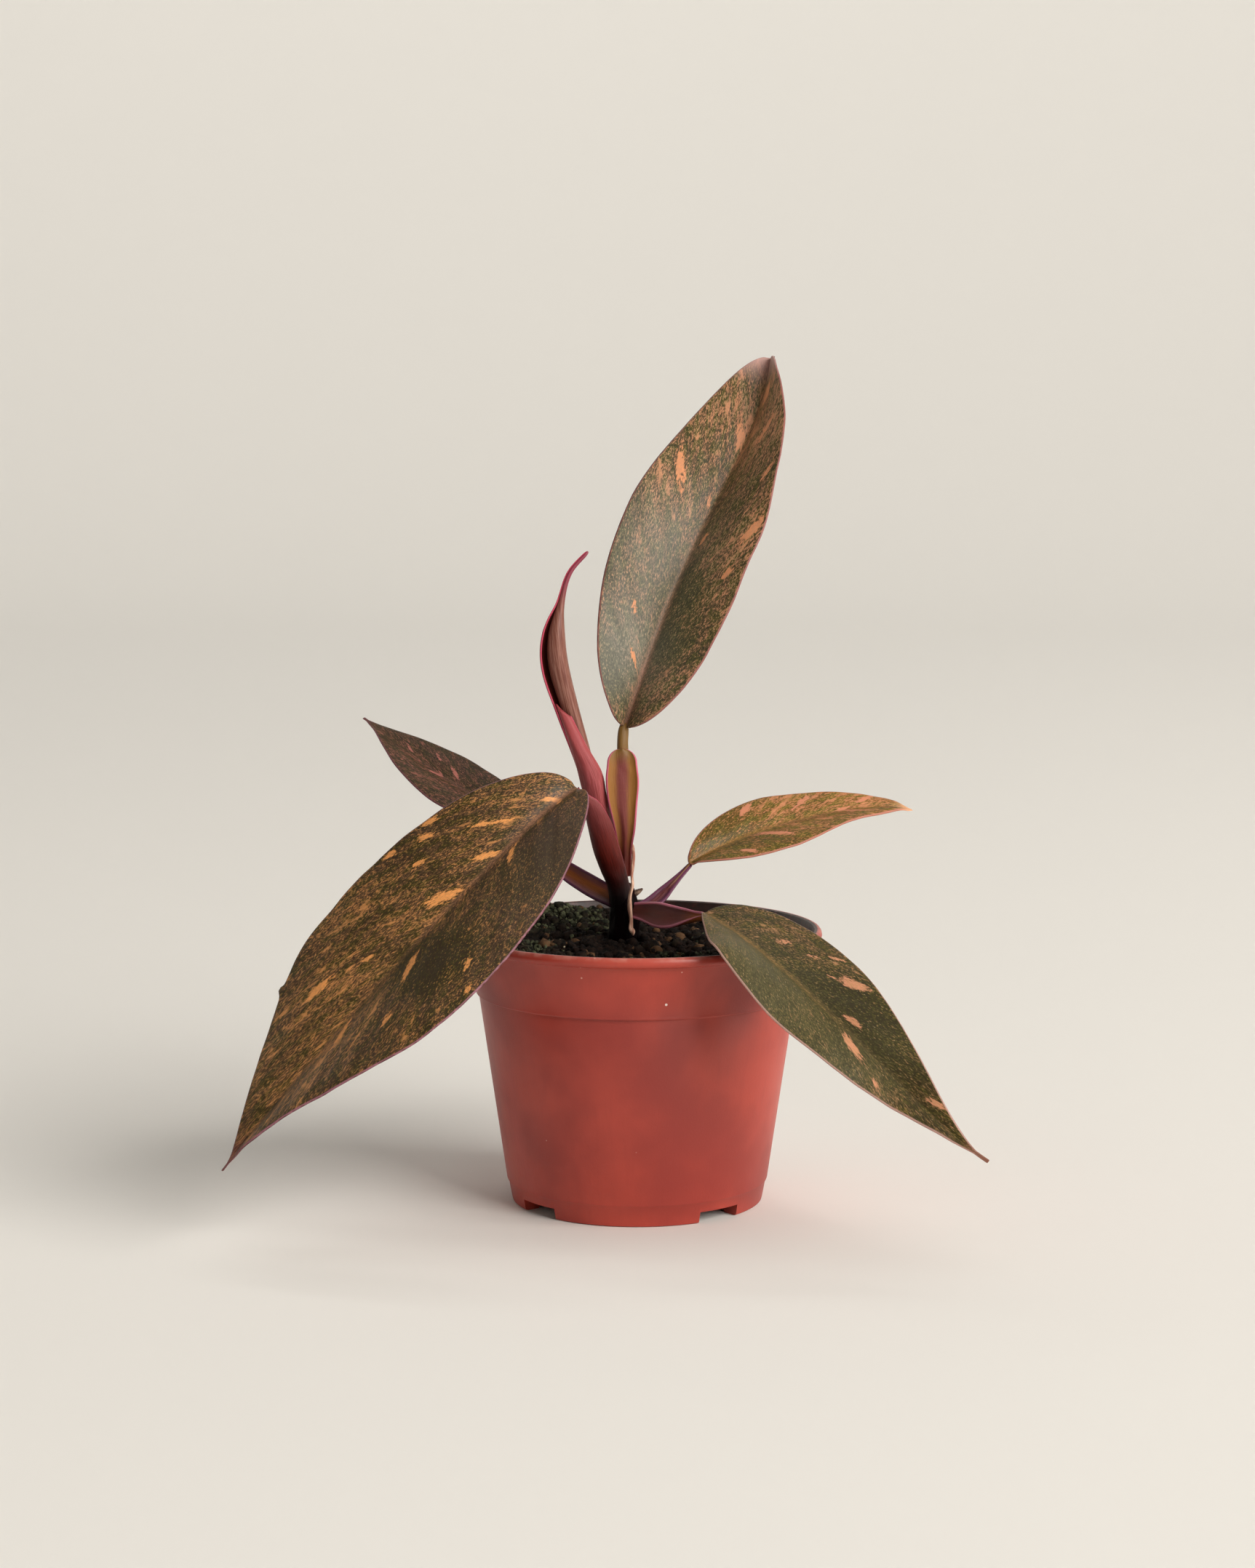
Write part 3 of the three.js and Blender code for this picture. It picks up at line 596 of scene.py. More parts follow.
def makeChips():
    # the thin chips are bowed fibres
    pieces = []
    for key, shade in chipShades.items():
        bm = bmesh.new()
        for x, y, length, width, thick, turn, tilt, chipKey in chips:
            if chipKey != key:
                continue
            z = soilHeight(x, y) + crumbRise(x, y) + 0.35 * thick
            place = Matrix.Translation(Vector((x, y, z)) * mm) @ Matrix.Rotation(math.radians(turn), 4, "Z")
            place = place @ Matrix.Rotation(math.radians(tilt), 4, "Y")
            made = bmesh.ops.create_icosphere(bm, subdivisions=3, radius=1)
            for vert in made["verts"]:
                bulge = 1 + 0.25 * noise.noise(vert.co * 1.7 + Vector((x, y, 0)))
                bend = 0.22 * length * (vert.co.x ** 2) if width < 0.5 else 0
                x1, y1, z1 = vert.co / 2
                local = Vector((x1 * length, y1 * width + bend, z1 * thick))
                vert.co = place @ (local * bulge * mm)
        finish = simpleFinish("chip" + key, soil[key], shade, 700, 0.8)
        pieces.append(addPiece("soilChips_" + key[:4], bm, finish))
    return pieces


seedling = {"place": (3.2, -22.2), "leafLength": 3.4, "leafWidth": 2.3, "turns": (15, 150, 250),
            "colour": (66, 120, 40), "tip": (110, 160, 70)}


def makeSeedling():
    bm = bmesh.new()
    x0, y0 = seedling["place"]
    z0 = soilHeight(x0, y0) + 0.8
    for turn in seedling["turns"]:
        place = Matrix.Translation(Vector((x0, y0, z0)) * mm) @ Matrix.Rotation(math.radians(turn), 4, "Z")
        made = bmesh.ops.create_uvsphere(bm, u_segments=14, v_segments=10, radius=1)
        for vert in made["verts"]:
            part = (vert.co.x + 1) / 2
            width = seedling["leafWidth"] / 2 * (0.75 + 0.25 * part)
            droop = 0.5 * part - 0.9 * part * part
            local = Vector((part * seedling["leafLength"], vert.co.y * width,
                            droop + 0.12 * vert.co.z - 0.12 * vert.co.y ** 2))
            vert.co = place @ (local * mm)
    finish = simpleFinish("seedlingLeaf", seedling["colour"], seedling["tip"], 600, 0.5)
    return addPiece("mixSeedling", bm, finish)


soilPieces = makeTopping() + makeChips() + [makeSeedling()]
for piece in soilPieces:
    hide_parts("soil")
print("potting mix made")


# Stem, petioles and sheaths

def stalk(stations, sides, rows, wave, seed, ridge=0.0):
    # a round stalk through x, y, z, radius with slightly uneven skin and rounded ends
    def placeAt(turn, step):
        t = crowd(step, 0.6)
        (x, y, z, radius), side, front = alongCurve(stations, t)
        angle = fullTurn * turn
        spoke = side * math.cos(angle) + front * math.sin(angle)
        bump = 1 + wave * ripple(seed, 2 * math.cos(angle), 2 * math.sin(angle), z * 0.4)
        bump += ridge * math.cos(3 * angle)
        point = Vector((x, y, z)) + spoke * radius * bump * rounded(2 * step - 1, 10)
        return point, [(angle * radius, z, seed), (math.cos(angle), t, 0)]

    return closedGrid(sides, rows, placeAt, ["grain", "place"])


stationGap = 3.5


def trough(stations, cols, rows, wave, seed, ridge=1.0, edge=0.45, reach=0.0, tipFrom=2.0):
    # a channelled stalk through left margin, right margin, bow and thickness of its middle
    # its end runs on by reach, or is rounded off from tipFrom
    def placeAt(turn, step):
        t = crowd(step, 0.3)
        row = stationsAt(stations, t)
        before = stationsAt(stations, max(t - tangentStep, 0))
        after = stationsAt(stations, min(t + tangentStep, 1))
        left, right = Vector(row[:3]), Vector(row[3:6])
        bow, middle = row[6:]
        tangent = Vector([after[k] + after[k + 3] - before[k] - before[k + 3] for k in range(3)]).normalized()
        across = right - left
        chord = across.length
        across.normalize()
        face = across.cross(tangent).normalized() * (-1 if bow < 0 else 1)
        rise = max(abs(bow), 0.05)
        closing = rounded((t - tipFrom) / (1 - tipFrom)) if t > tipFrom else 1.0
        radius = (chord * chord / 4 + rise * rise) / (2 * rise)
        half = 2 * math.atan(2 * rise / chord) * max(closing, 0.002)
        centre = left.lerp(right, 0.5) + face * (rise - radius)
        centre += tangent * reach * smoothStep(0.9, 1, t)
        outside, tau = acrossFaces(turn)
        v = 2 * crowd(tau, 0.5) - 1
        rimDistance = (1 - abs(v)) * half * radius
        depth = edge + (middle - edge) * (1 - v * v) ** ridge
        lip = 0.5 * edge
        if rimDistance < lip:
            depth *= rounded(1 - rimDistance / lip)
        level = radius - 0.5 * edge + (0.5 if outside else 0) * min(depth, edge)
        if not outside:
            level -= depth - 0.5 * min(depth, edge)
        level += wave * ripple(seed, v * 2, t * 9, 0) * (1 - v * v)
        angle = v * half
        point = centre + (across * math.sin(angle) + face * math.cos(angle)) * level
        length = t * (len(stations) - 1) * stationGap
        return point, [(angle * radius, length, seed), (v, t, 0 if outside else 1), (rimDistance, 0, 0)]

    return closedGrid(2 * cols, rows, placeAt, ["grain", "place", "rim"])


stemShape = [
    (-2.2, 0, 36.3, 2.3), (-2.2, 0, 41, 2.5), (-2.1, 0, 44.4, 2.5), (-2.1, 0, 48, 2.35), (-2.5, 0, 52, 1.7),
]
leftPetiole = [
    (-4.4, 0.2, 47.5, -0.7, -0.4, 47.5, 1.7, 0.7), (-4.8, -0.4, 51.3, -1.1, -1.2, 51.2, 1.8, 0.7),
    (-5.9, -1.2, 54, -1.9, -2, 54.9, 1.7, 0.7), (-7.1, -2.8, 57.4, -3, -3.2, 58.8, 1.6, 0.7),
    (-8, -4.4, 61.5, -4.3, -4.8, 62.9, 1.3, 0.7), (-8.7, -5.9, 65, -6.2, -6.2, 66.1, 0.8, 0.7),
    (-9.4, -7.1, 67.7, -8.5, -7.3, 67.5, 0.4, 0.7),
]
backLeftPetiole = [
    (-3, 1.6, 50.4, -2.8, -1.4, 47.6, 1.3, 1.3), (-4.9, 2, 51.7, -4.7, -1, 48.2, 1.4, 1.3),
    (-7, 3.5, 52.7, -7.3, 0.8, 49.1, 1.5, 1.2), (-9.4, 5.7, 53.7, -9.6, 3.1, 50.1, 1.5, 1.2),
    (-12.4, 8, 55.2, -12.6, 5.8, 51.9, 1.4, 1.1), (-15.6, 9.8, 57.7, -15.8, 8.3, 55.3, 1.1, 1),
    (-18, 10.4, 60.9, -18.3, 9.6, 60.5, 0.6, 0.9),
]
backRightPetiole = [
    (-1.6, 1.6, 48, -1.2, 0, 46.6, -1.2, 1.2), (1, 2.6, 48.8, 2, 0.8, 47, -1.2, 1.2),
    (3.6, 4.6, 50.5, 4.6, 2.6, 48.6, -1.1, 1), (5.6, 5.7, 51.9, 6.3, 4.4, 50.6, -0.8, 0.9),
    (8, 7.2, 53.7, 8.6, 6.7, 53.2, -0.4, 0.8),
]
frontRightPetiole = [
    (-1.4, -0.6, 48.8, -1.6, -2, 46.6, -1.2, 1.2), (0.6, -2.4, 49.2, 0.4, -4.6, 46.4, -1.4, 1.3),
    (3.4, -6.2, 49.8, 2.8, -8.4, 45.9, -1.5, 1.3), (5.7, -9, 49.7, 5.1, -11.4, 46.4, -1.6, 1.2),
    (8, -12.2, 49.6, 7.7, -14.2, 48, -1.6, 1), (9.8, -15, 49.5, 9.6, -16, 49.2, -1.4, 0.8),
]
driedStub = [(-1.6, 0, 49.4, 0.6), (-0.4, -0.2, 50.2, 0.5), (0.3, -0.2, 50.6, 0.35), (0.9, -0.2, 51, 0.12)]
topSheath = [
    (-3.1, 0.4, 52.6, -0.9, 0.6, 53, -0.5, 0.9), (-3.4, 0.2, 57.5, -0.7, 0.4, 57.5, -0.7, 1),
    (-4, -0.2, 61.4, -0.2, 0.2, 60.6, -0.9, 1.1), (-4.9, -0.6, 65.5, 0.1, 0.2, 64.4, -1.1, 1.1),
    (-5.2, -0.6, 68.7, 0.4, 0.4, 68.2, -1.2, 1.1), (-5, -0.1, 71.2, 0.1, 0.6, 71.2, -1, 1),
    (-4.8, 0.5, 73.8, -0.1, 0.9, 73.8, -0.8, 0.9),
]
topPetiole = [
    (-2.5, 1.9, 64, 0.9), (-2.4, 2, 68, 0.95), (-2.4, 2.1, 72, 0.95), (-2.4, 2.3, 74.5, 0.9),
    (-2.3, 2.9, 76.4, 0.85), (-2, 3.6, 77.7, 0.6),
]
newLeafSheath = [
    (-5, 1.2, 51.9, -2.3, 1.6, 52.4, 0.6, 0.7), (-6.4, 1.2, 57, -2.9, 1.4, 57, 0.9, 0.7),
    (-8.2, 0.8, 64.2, -4.2, 1, 62.8, 1.3, 0.7), (-9.1, 0.4, 67.6, -4.9, 0.5, 66.2, 1.6, 0.7),
    (-9.9, 0, 70.9, -5.7, 0, 70.1, 1.7, 0.7), (-11.2, -0.4, 75.4, -8, -0.6, 74.2, 1.4, 0.7),
    (-13.2, -0.6, 81.2, -10.5, -1.2, 79, 0.9, 0.7),
]
dryStrand = [
    (-0.7, -1, 58.4, 0.2), (-0.6, -2.1, 56.8, 0.22), (-0.7, -2.7, 55.4, 0.26), (-0.9, -3.4, 53.6, 0.24),
    (-0.8, -3.6, 52, 0.28), (-1.15, -3.6, 50.2, 0.25), (-1.2, -3.4, 48.4, 0.3), (-1, -3.2, 46.4, 0.27),
    (-1.1, -3.3, 45, 0.34), (-0.8, -3.3, 44.4, 0.36), (-0.7, -3, 43.7, 0.15),
]


maroon, black, purple, olive = (58, 14, 16), (7, 2, 3), (98, 50, 74), (112, 82, 40)
skins = {
    # tones of the channel's centre and sides, of the margin and of the belly
    # deep is the tone near the soil, with the heights up to which it is full and where it is gone
    # the tone near the soil and at the base is partly the stalks' own dark maroon and partly painted shade
    # where they crowd together above the soil; it comes with the heights up to which it is full and where it
    # is gone
    "crownSkin": {"tones": (maroon, maroon, maroon, (34, 8, 12)), "shadeAndDeep": (black, 49, 55), "specular": 0.03},
    "frontSheathSkin": {
        "tones": ((96, 26, 18), (82, 20, 14), (160, 58, 76), (80, 24, 18)), "shadeAndDeep": (black, 49, 60),
        "marginWidth": 0.3, "fade": ((122, 56, 56), 0.45, 0.9)},
    "backLeftSkin": {
        "tones": ((152, 84, 34), (124, 66, 62), purple, (96, 46, 66)), "shadeAndDeep": (black, 47.5, 51.5),
        "bands": (0.2, 0.75), "marginWidth": 0.5},
    "backRightSkin": {
        "tones": ((92, 44, 44), (78, 34, 52), purple, (74, 34, 50)), "shadeAndDeep": (black, 45, 49),
        "bands": (0.3, 0.8), "marginWidth": 0.3, "fade": ((130, 92, 52), 0.6, 1.0)},
    "frontRightSkin": {
        "tones": ((96, 50, 44), (102, 56, 56), (188, 110, 128), (128, 66, 48)),
        "shadeAndDeep": ((40, 14, 18), 44.5, 47), "bands": (0.3, 0.85), "marginWidth": 0.22,
        "fade": ((150, 88, 48), 0.65, 0.98)},
    "spoonSheathSkin": {
        "tones": ((112, 52, 48), (138, 92, 40), (190, 92, 116), (140, 84, 60)),
        "shadeAndDeep": ((78, 22, 14), 55, 65), "bands": (0.2, 0.6), "marginWidth": 0.22, "fade": (olive, 0.8, 1.0)},
    "topPetioleSkin": {"tones": (olive, (158, 128, 80), olive, (146, 112, 66))},
    "newSheathSkin": {
        "tones": ((160, 80, 82), (152, 72, 76), (184, 64, 94), (134, 58, 58)), "shadeAndDeep": (maroon, 50, 60),
        "marginWidth": 0.25, "fade": ((150, 64, 66), 0.6, 1.0)},
}


def petioleFinish(name):
    # streaked skin whose tones run across the channel
    skin = skins[name]
    centre, band, margin, belly = skin["tones"]
    bandFrom, bandTo = skin.get("bands", (0.3, 0.75))
    marginWidth = skin.get("marginWidth", 0.28)
    look = Finish(name, 0.4, skin.get("specular", 0.2))
    grain = look.attribute("grain")
    v, along, inner = look.parts(look.attribute("place"))[:3]
    rim = look.parts(look.attribute("rim"))[0]
    height = look.parts(look.objectPlace())[2]
    streaks = look.noise(look.scaled(grain, (4.5, 0.35, 1)), 1, 3, 0.6)
    speckle = look.noise(look.scaled(grain, (5, 2.2, 1)), 1, 3, 0.7)
    aside = look.math("ABSOLUTE", look.swing(streaks, 0.35, v))
    tone = look.mix(look.between(aside, bandFrom, bandTo), centre, band)
    outer = look.mix(look.between(streaks, 0.35, 0.7), belly, centre)
    tone = look.mix(inner, outer, tone)
    if "fade" in skin:
        fadeTone, fadeFrom, fadeTo = skin["fade"]
        tone = look.mix(look.between(along, fadeFrom, fadeTo), tone, fadeTone)
    tone = look.mix(look.between(speckle, 0.5, 0.75, 0, 0.35), tone, belly)
    tone = look.mix(look.between(rim, marginWidth, 0.3 * marginWidth), tone, margin)
    # darkening towards the soil: partly the stalks' own dark maroon, partly painted shade near the soil and
    # between the stalks
    if "shadeAndDeep" in skin:
        shadeAndDeepTone, shadeAndDeepFrom, shadeAndDeepTo = skin["shadeAndDeep"]
        tone = look.mix(look.between(height, shadeAndDeepTo * mm, shadeAndDeepFrom * mm), tone, shadeAndDeepTone)
    look.bump(streaks, 0.12 * mm, 0.5)
    return look.finish(tone, look.between(speckle, 0.3, 0.7, 0.35, 0.48))


def makeStemPieces():
    shapes = [
        ("stemCrown", "crownSkin", stalk(stemShape, 40, 60, 0.12, 3)),
        ("leftPetiole", "frontSheathSkin", trough(leftPetiole, 28, 120, 0.12, 2, edge=0.4, reach=0.9)),
        ("backLeftPetiole", "backLeftSkin", trough(backLeftPetiole, 26, 100, 0.1, 4, reach=0.8)),
        ("backRightPetiole", "backRightSkin", trough(backRightPetiole, 24, 80, 0.1, 5, reach=0.8)),
        ("frontRightPetiole", "frontRightSkin", trough(frontRightPetiole, 26, 100, 0.1, 6, reach=0.8)),
    ]
    pieces = [addPiece(name, shape, petioleFinish(skin)) for name, skin, shape in shapes]
    withered = simpleFinish("witheredBract", (58, 34, 28), (168, 140, 116), 700, 0.85, (1, 1, 0.4))
    pieces.append(addPiece("driedStub", stalk(driedStub, 18, 30, 0.5, 8), withered))
    for piece in pieces:
        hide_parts("stem")

    shapes = [
        ("spoonSheath", "spoonSheathSkin", trough(topSheath, 30, 130, 0.1, 7, ridge=3, tipFrom=0.86)),
        ("topPetiole", "topPetioleSkin", stalk(topPetiole, 32, 70, 0.05, 9, 0.06)),
    ]
    tops = [addPiece(name, shape, petioleFinish(skin)) for name, skin, shape in shapes]
    for piece in tops:
        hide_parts("top_petiole")

    sheathShape = trough(newLeafSheath, 28, 130, 0.15, 10, edge=0.3)
    sheath = addPiece("newLeafSheath", sheathShape, petioleFinish("newSheathSkin"))
    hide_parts("new_leaf_sheath")

    fibre = simpleFinish("dryFibre", (206, 168, 144), (150, 96, 78), 900, 0.8, (1, 1, 0.3))
    strand = addPiece("dryStrand", stalk(dryStrand, 14, 110, 0.5, 12), fibre)
    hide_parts("dried_strand")


makeStemPieces()
print("stem and sheaths made")


# The leaf that is still rolled

roll = {
    "stations": [
        (-6.6, 1.4, 64, 1), (-8.3, 1.3, 71.5, 1.3), (-10.9, 1, 80, 1.7), (-12.8, 0.6, 87, 2),
        (-13.1, 0.4, 92, 1.7), (-12.3, 0.8, 97.2, 0.7), (-10.9, 1.4, 102, 0.45), (-7.9, 2.4, 105.5, 0.35),
    ],
    "innerEnd": -230, "outerEnd": 212, "innerPart": 0.7, "outerPart": 1.06, "flare": 0.42, "flareFrom": 0.86,
    "thickness": 0.32, "thinnest": 0.4, "cols": 70, "rows": 190, "seed": 3,
    "skin": (138, 94, 80), "skinDeep": (102, 54, 42), "inside": (70, 26, 20),
    "margin": (176, 62, 84), "tip": (128, 50, 66),
}


def makeRoll():
    def placeAt(turn, step):
        t = crowd(step, 0.3)
        (x, y, z, size), side, back = alongCurve(roll["stations"], t)
        outside, tau = acrossFaces(turn)
        part = crowd(tau, 0.4)
        degrees = roll["innerEnd"] + (roll["outerEnd"] - roll["innerEnd"]) * part
        reach = roll["innerPart"] + (roll["outerPart"] - roll["innerPart"]) * part
        reach += roll["flare"] * smoothStep(0.3, 1.2, size) * smoothStep(roll["flareFrom"], 1, part)
        thickness = min(roll["thickness"], roll["thinnest"] * size)
        margin = min(part, 1 - part) * math.radians(roll["outerEnd"] - roll["innerEnd"]) * size
        if margin < 0.5 * thickness:
            thickness *= rounded(1 - 2 * margin / thickness)
        radius = (size * reach - (0 if outside else thickness)) * rounded(2 * step - 1, 30)
        angle = math.radians(degrees)
        point = Vector((x, y, z)) + (side * math.cos(angle) + back * math.sin(angle)) * radius
        return point, [(angle * size, z, roll["seed"]), (part, t, 0 if outside else 1), (margin, 0, 0)]

    bm = closedGrid(2 * roll["cols"], roll["rows"], placeAt, ["grain", "place", "rim"])
    look = Finish("rolledLeafSkin", 0.38, 0.3)
    grain = look.attribute("grain")
    part, along, inner = look.parts(look.attribute("place"))[:3]
    rim = look.parts(look.attribute("rim"))[0]
    streaks = look.noise(look.scaled(grain, (3.2, 0.16, 1)), 1, 3, 0.65)
    fine = look.noise(look.scaled(grain, (7, 0.5, 1)), 1, 2, 0.6)
    tone = look.mix(look.between(streaks, 0.38, 0.62), roll["skinDeep"], roll["skin"])
    tone = look.mix(look.between(fine, 0.45, 0.7, 0, 0.5), tone, roll["skinDeep"])
    tone = look.mix(inner, tone, roll["inside"])
    tone = look.mix(look.between(along, 0.66, 0.86), tone, roll["tip"])
    tone = look.mix(look.between(rim, 0.26, 0.1), tone, roll["margin"])
    look.bump(streaks, 0.15 * mm, 0.5)
    piece = addPiece("rolledLeaf", bm, look.finish(tone))
    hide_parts("new_leaf")


makeRoll()
print("rolled leaf made")


# Leaf blades

shared = {
    "narrowest": 0.3, "foldStart": 1.6, "foldSoft": 0.04, "marginRound": 0.3, "body": 0.2, "tipBody": 0.25,
    "veinSlope": 1.0, "veinBend": 1.8, "lateralGap": 5.5, "lateralWidth": 0.16, "lateralDepth": 0.07,
    "arch": 0.05, "wave": 0.44, "waveRate": 0.12, "dimple": 0.1, "dimpleRate": 0.3,
    # rise or fall and half width of the midrib and of the trough beside it, above and below
    "ribTop": (0.06, 0.35), "ribTrough": (0.22, 1.4), "ribKeel": (0.55, 0.6), "keelTrough": (0.1, 1.6),
    "spineSteps": 400, "fleckCore": 1.6,
}

# Along a leaf, places are shares of its length from foot to tip, and across it they are millimetres.
# A fleck is place, across, length and width. A zone or a patch of painted sheen is place, across, reach and
# strength.
# The nub is place, side and rise. Droop is how far the near half hangs, in degrees, its forward share and
# where it ends.
leaves = {
    "top_leaf": {
        "midrib": [(-2, 3, 77), (5.1, 5, 99.1), (11.2, 14, 113.2), (19.2, 20, 119.8), (22.7, 28, 136.9)],
        "face": (0, -1, 0.2), "roll": (3.6, -37.6), "halfWidth": 12.9, "widestAt": 0.5, "base": 0.45,
        "taper": (1.4, 0.5), "fold": 26, "endFold": 28, "rows": 200, "cols": 64, "seed": 11,
        "flecks": [(0.62, -7.8, 8.3, 1.6), (0.88, 2.7, 3.6, 1.3), (0.78, 5.3, 5, 1.2), (0.78, -1.4, 5.4, 1.6),
                   (0.51, 10.9, 5, 1.8), (0.58, -1, 2.8, 0.8), (0.48, 1.7, 2.4, 0.9), (0.4, 9.6, 3, 1),
                   (0.66, 9.4, 3.4, 0.9), (0.26, -5.4, 3, 0.7), (0.16, -3, 5, 0.7)],
        "zones": [(0.14, -2, 6, 0.4), (0.5, 11.5, 9, 0.9), (0.12, 7, 6, 0.3), (0.85, 4, 9, 0.9),
                  (0.8, -3, 12, 0.25), (0.35, 3, 5, -1.2), (0.55, 4, 5, -0.8), (0.2, 3, 5, -1.2),
                  (0.1, -7, 5, -1.2)],
        "paintedSheen": [(0.16, -4, 8, 0.7), (0.42, -7, 11, 0.45)],
    },
    "left_leaf": {
        "midrib": [(-9.5, -8, 68.2), (-14.1, -17, 68.8), (-52.4, -33, 27.3), (-62.5, -42, 14.4)],
        "face": (-0.1, -0.6, 0.8), "roll": (-10.3, 26.2), "halfWidth": 17.5, "widestAt": 0.54, "base": 0.63,
        "taper": (1.75, 1.5), "fold": 5.4, "endFold": 19.7, "rows": 230, "cols": 84, "seed": 23,
        "flecks": [(0.35, 1.9, 8.1, 2), (0.24, 1.6, 5, 1.2), (0.21, -1.7, 5, 1.1), (0.62, 8.2, 4.1, 1.9),
                   (0.67, -1.5, 6.5, 1.2), (0.5, -3.2, 7.8, 1.3), (0.25, 13.2, 3.1, 1.1),
                   (0.28, 11.9, 3.1, 1.2), (0.33, 9.4, 2.1, 1.1), (0.34, 14.9, 2.2, 0.9),
                   (0.53, 4.7, 2.5, 0.9), (0.61, -8.3, 3.1, 1), (0.44, -12.3, 3.2, 0.7),
                   (0.48, -16.2, 2.5, 0.7), (0.19, 5.3, 7.8, 0.7), (0.06, 0.3, 7, 0.8)],
        "zones": [(0.14, 5, 9, 0.7), (0.62, 4, 16, 0.45), (0.72, 0, 10, 0.3), (0.47, -5, 7, -1.9),
                  (0.18, -9, 11, -0.9), (0.36, 9, 8, -0.2), (0.4, 1.5, 5, 0.9), (0.64, -11, 6, -0.5)],
        "paintedSheen": [(0.12, -8, 10, 0.75), (0.3, -14, 8, 0.4)],
        "nub": (0.665, 1, 0.9),
    },
    "front_right_leaf": {
        "midrib": [(10.4, -16, 49.5), (23.5, -31, 45.3), (41.8, -44, 23.1), (51.6, -51, 18)],
        "face": (0.2, -0.6, 0.8), "roll": (-26.4, 31.2), "halfWidth": 10.8, "widestAt": 0.27, "base": 0.52,
        "taper": (1.8, 1.55), "fold": 8.2, "endFold": 28, "rows": 190, "cols": 60, "seed": 37,
        "droop": (30, 0.6, 0.22),
        "flecks": [(0.43, -6.5, 6.2, 1.9), (0.57, 1.7, 4.6, 2.1), (0.52, -1.7, 3, 1.5),
                   (0.22, -4.2, 3.6, 0.9), (0.81, -1.6, 3.5, 1.1), (0.34, -8.6, 3, 0.8),
                   (0.3, -5.6, 2.6, 0.7), (0.68, 3.4, 2.4, 0.8)],
        "zones": [(0.2, -5, 7, 0.2), (0.3, 5, 9, -0.9), (0.55, 3, 9, -0.8), (0.5, -3, 9, -0.7),
                  (0.8, 0, 9, -0.2)],
        "paintedSheen": [(0.15, 6, 8, 0.55), (0.35, 6, 9, 0.55), (0.6, 4, 8, 0.45)],
    },
    "back_right_leaf": {
        "midrib": [(8.5, 7, 54.1), (16, 11, 58.3), (36, 19, 63.8), (46.7, 24, 60.8)],
        "face": (-0.1, -0.4, 0.9), "roll": (22.6, 3), "halfWidth": 6.3, "widestAt": 0.41, "base": 0.65,
        "taper": (1.13, 0.71), "fold": 8.8, "endFold": 30, "rows": 140, "cols": 44, "seed": 41,
        "flecks": [(0.32, -4.8, 4.5, 1.1), (0.36, 2, 6.8, 1.2), (0.68, 0.1, 8.3, 1.1), (0.55, -3.4, 6, 1.1),
                   (0.8, -1.8, 5, 0.9), (0.22, 3.8, 3.4, 0.8)],
        "zones": [(0.8, 0, 14, 0.9), (0.2, -1, 7, -0.5), (0.45, -4.5, 6, 0.5)],
        "paintedSheen": [],
    },
    "back_left_leaf": {
        "midrib": [(-18.3, 10, 61.5), (-29.9, 13, 64.2), (-37.8, 19, 71.4), (-46.2, 24, 76.5)],
        "face": (0, -0.5, 0.8), "roll": (4.4, 10.2), "halfWidth": 6.7, "widestAt": 0.4, "base": 0.51,
        "taper": (1.78, 1.25), "fold": 3.7, "endFold": 4, "rows": 130, "cols": 44, "seed": 53,
        "flecks": [(0.5, -0.4, 3.9, 0.9), (0.44, 1.9, 3.5, 0.8), (0.56, 2.6, 2.4, 0.6), (0.7, 0.6, 2.6, 0.6)],
        "zones": [(0.5, 0, 8, 0.2), (0.85, 0, 7, -0.4)],
        "paintedSheen": [],
    },
}

leafTones = {
    "top_leaf": {
        "dark": (52, 48, 30), "brown": (96, 76, 52), "green": (78, 74, 34),
        "fine": (182, 140, 102), "medium": (200, 140, 102), "large": (214, 142, 98),
        "pale": (200, 166, 130), "paintedSheen": (134, 132, 120), "margin": (146, 92, 88),
        "midrib": (150, 110, 92), "tip": (190, 150, 142), "under": (96, 54, 46),
        "fill": 0.8, "ribWidth": 1.2},
    "left_leaf": {
        "dark": (52, 38, 22), "brown": (88, 65, 42), "green": (58, 54, 18),
        "fine": (168, 122, 74), "medium": (198, 136, 80), "large": (224, 150, 84),
        "pale": (206, 166, 104), "paintedSheen": (74, 58, 50), "margin": (140, 92, 104),
        "midrib": (128, 90, 68), "tip": (112, 58, 58), "under": (88, 44, 44),
        "fill": 0.75, "ribWidth": 0.8},
    "front_right_leaf": {
        "dark": (44, 37, 17), "brown": (80, 64, 34), "green": (64, 60, 20),
        "fine": (146, 112, 64), "medium": (182, 132, 92), "large": (200, 136, 104),
        "pale": (208, 184, 148), "paintedSheen": (98, 92, 66), "margin": (190, 150, 138),
        "midrib": (136, 106, 64), "tip": (132, 84, 68), "under": (90, 50, 44),
        "fill": 0.7, "ribWidth": 0.8},
    "back_right_leaf": {
        "dark": (76, 62, 26), "brown": (120, 86, 42), "green": (96, 86, 28),
        "fine": (178, 126, 74), "medium": (196, 130, 92), "large": (198, 126, 100),
        "pale": (214, 168, 118), "paintedSheen": (180, 140, 110), "margin": (176, 112, 96),
        "midrib": (152, 110, 64), "tip": (222, 168, 128), "under": (150, 104, 76),
        "fill": 0.75, "ribWidth": 0.7},
    "back_left_leaf": {
        "dark": (50, 36, 24), "brown": (84, 60, 42), "green": (62, 53, 28),
        "fine": (134, 90, 68), "medium": (166, 102, 86), "large": (190, 116, 104),
        "pale": (180, 134, 108), "paintedSheen": (110, 90, 80), "margin": (112, 70, 76),
        "midrib": (108, 72, 58), "tip": (96, 56, 56), "under": (90, 48, 48),
        "fill": 0.65, "ribWidth": 0.7},
}


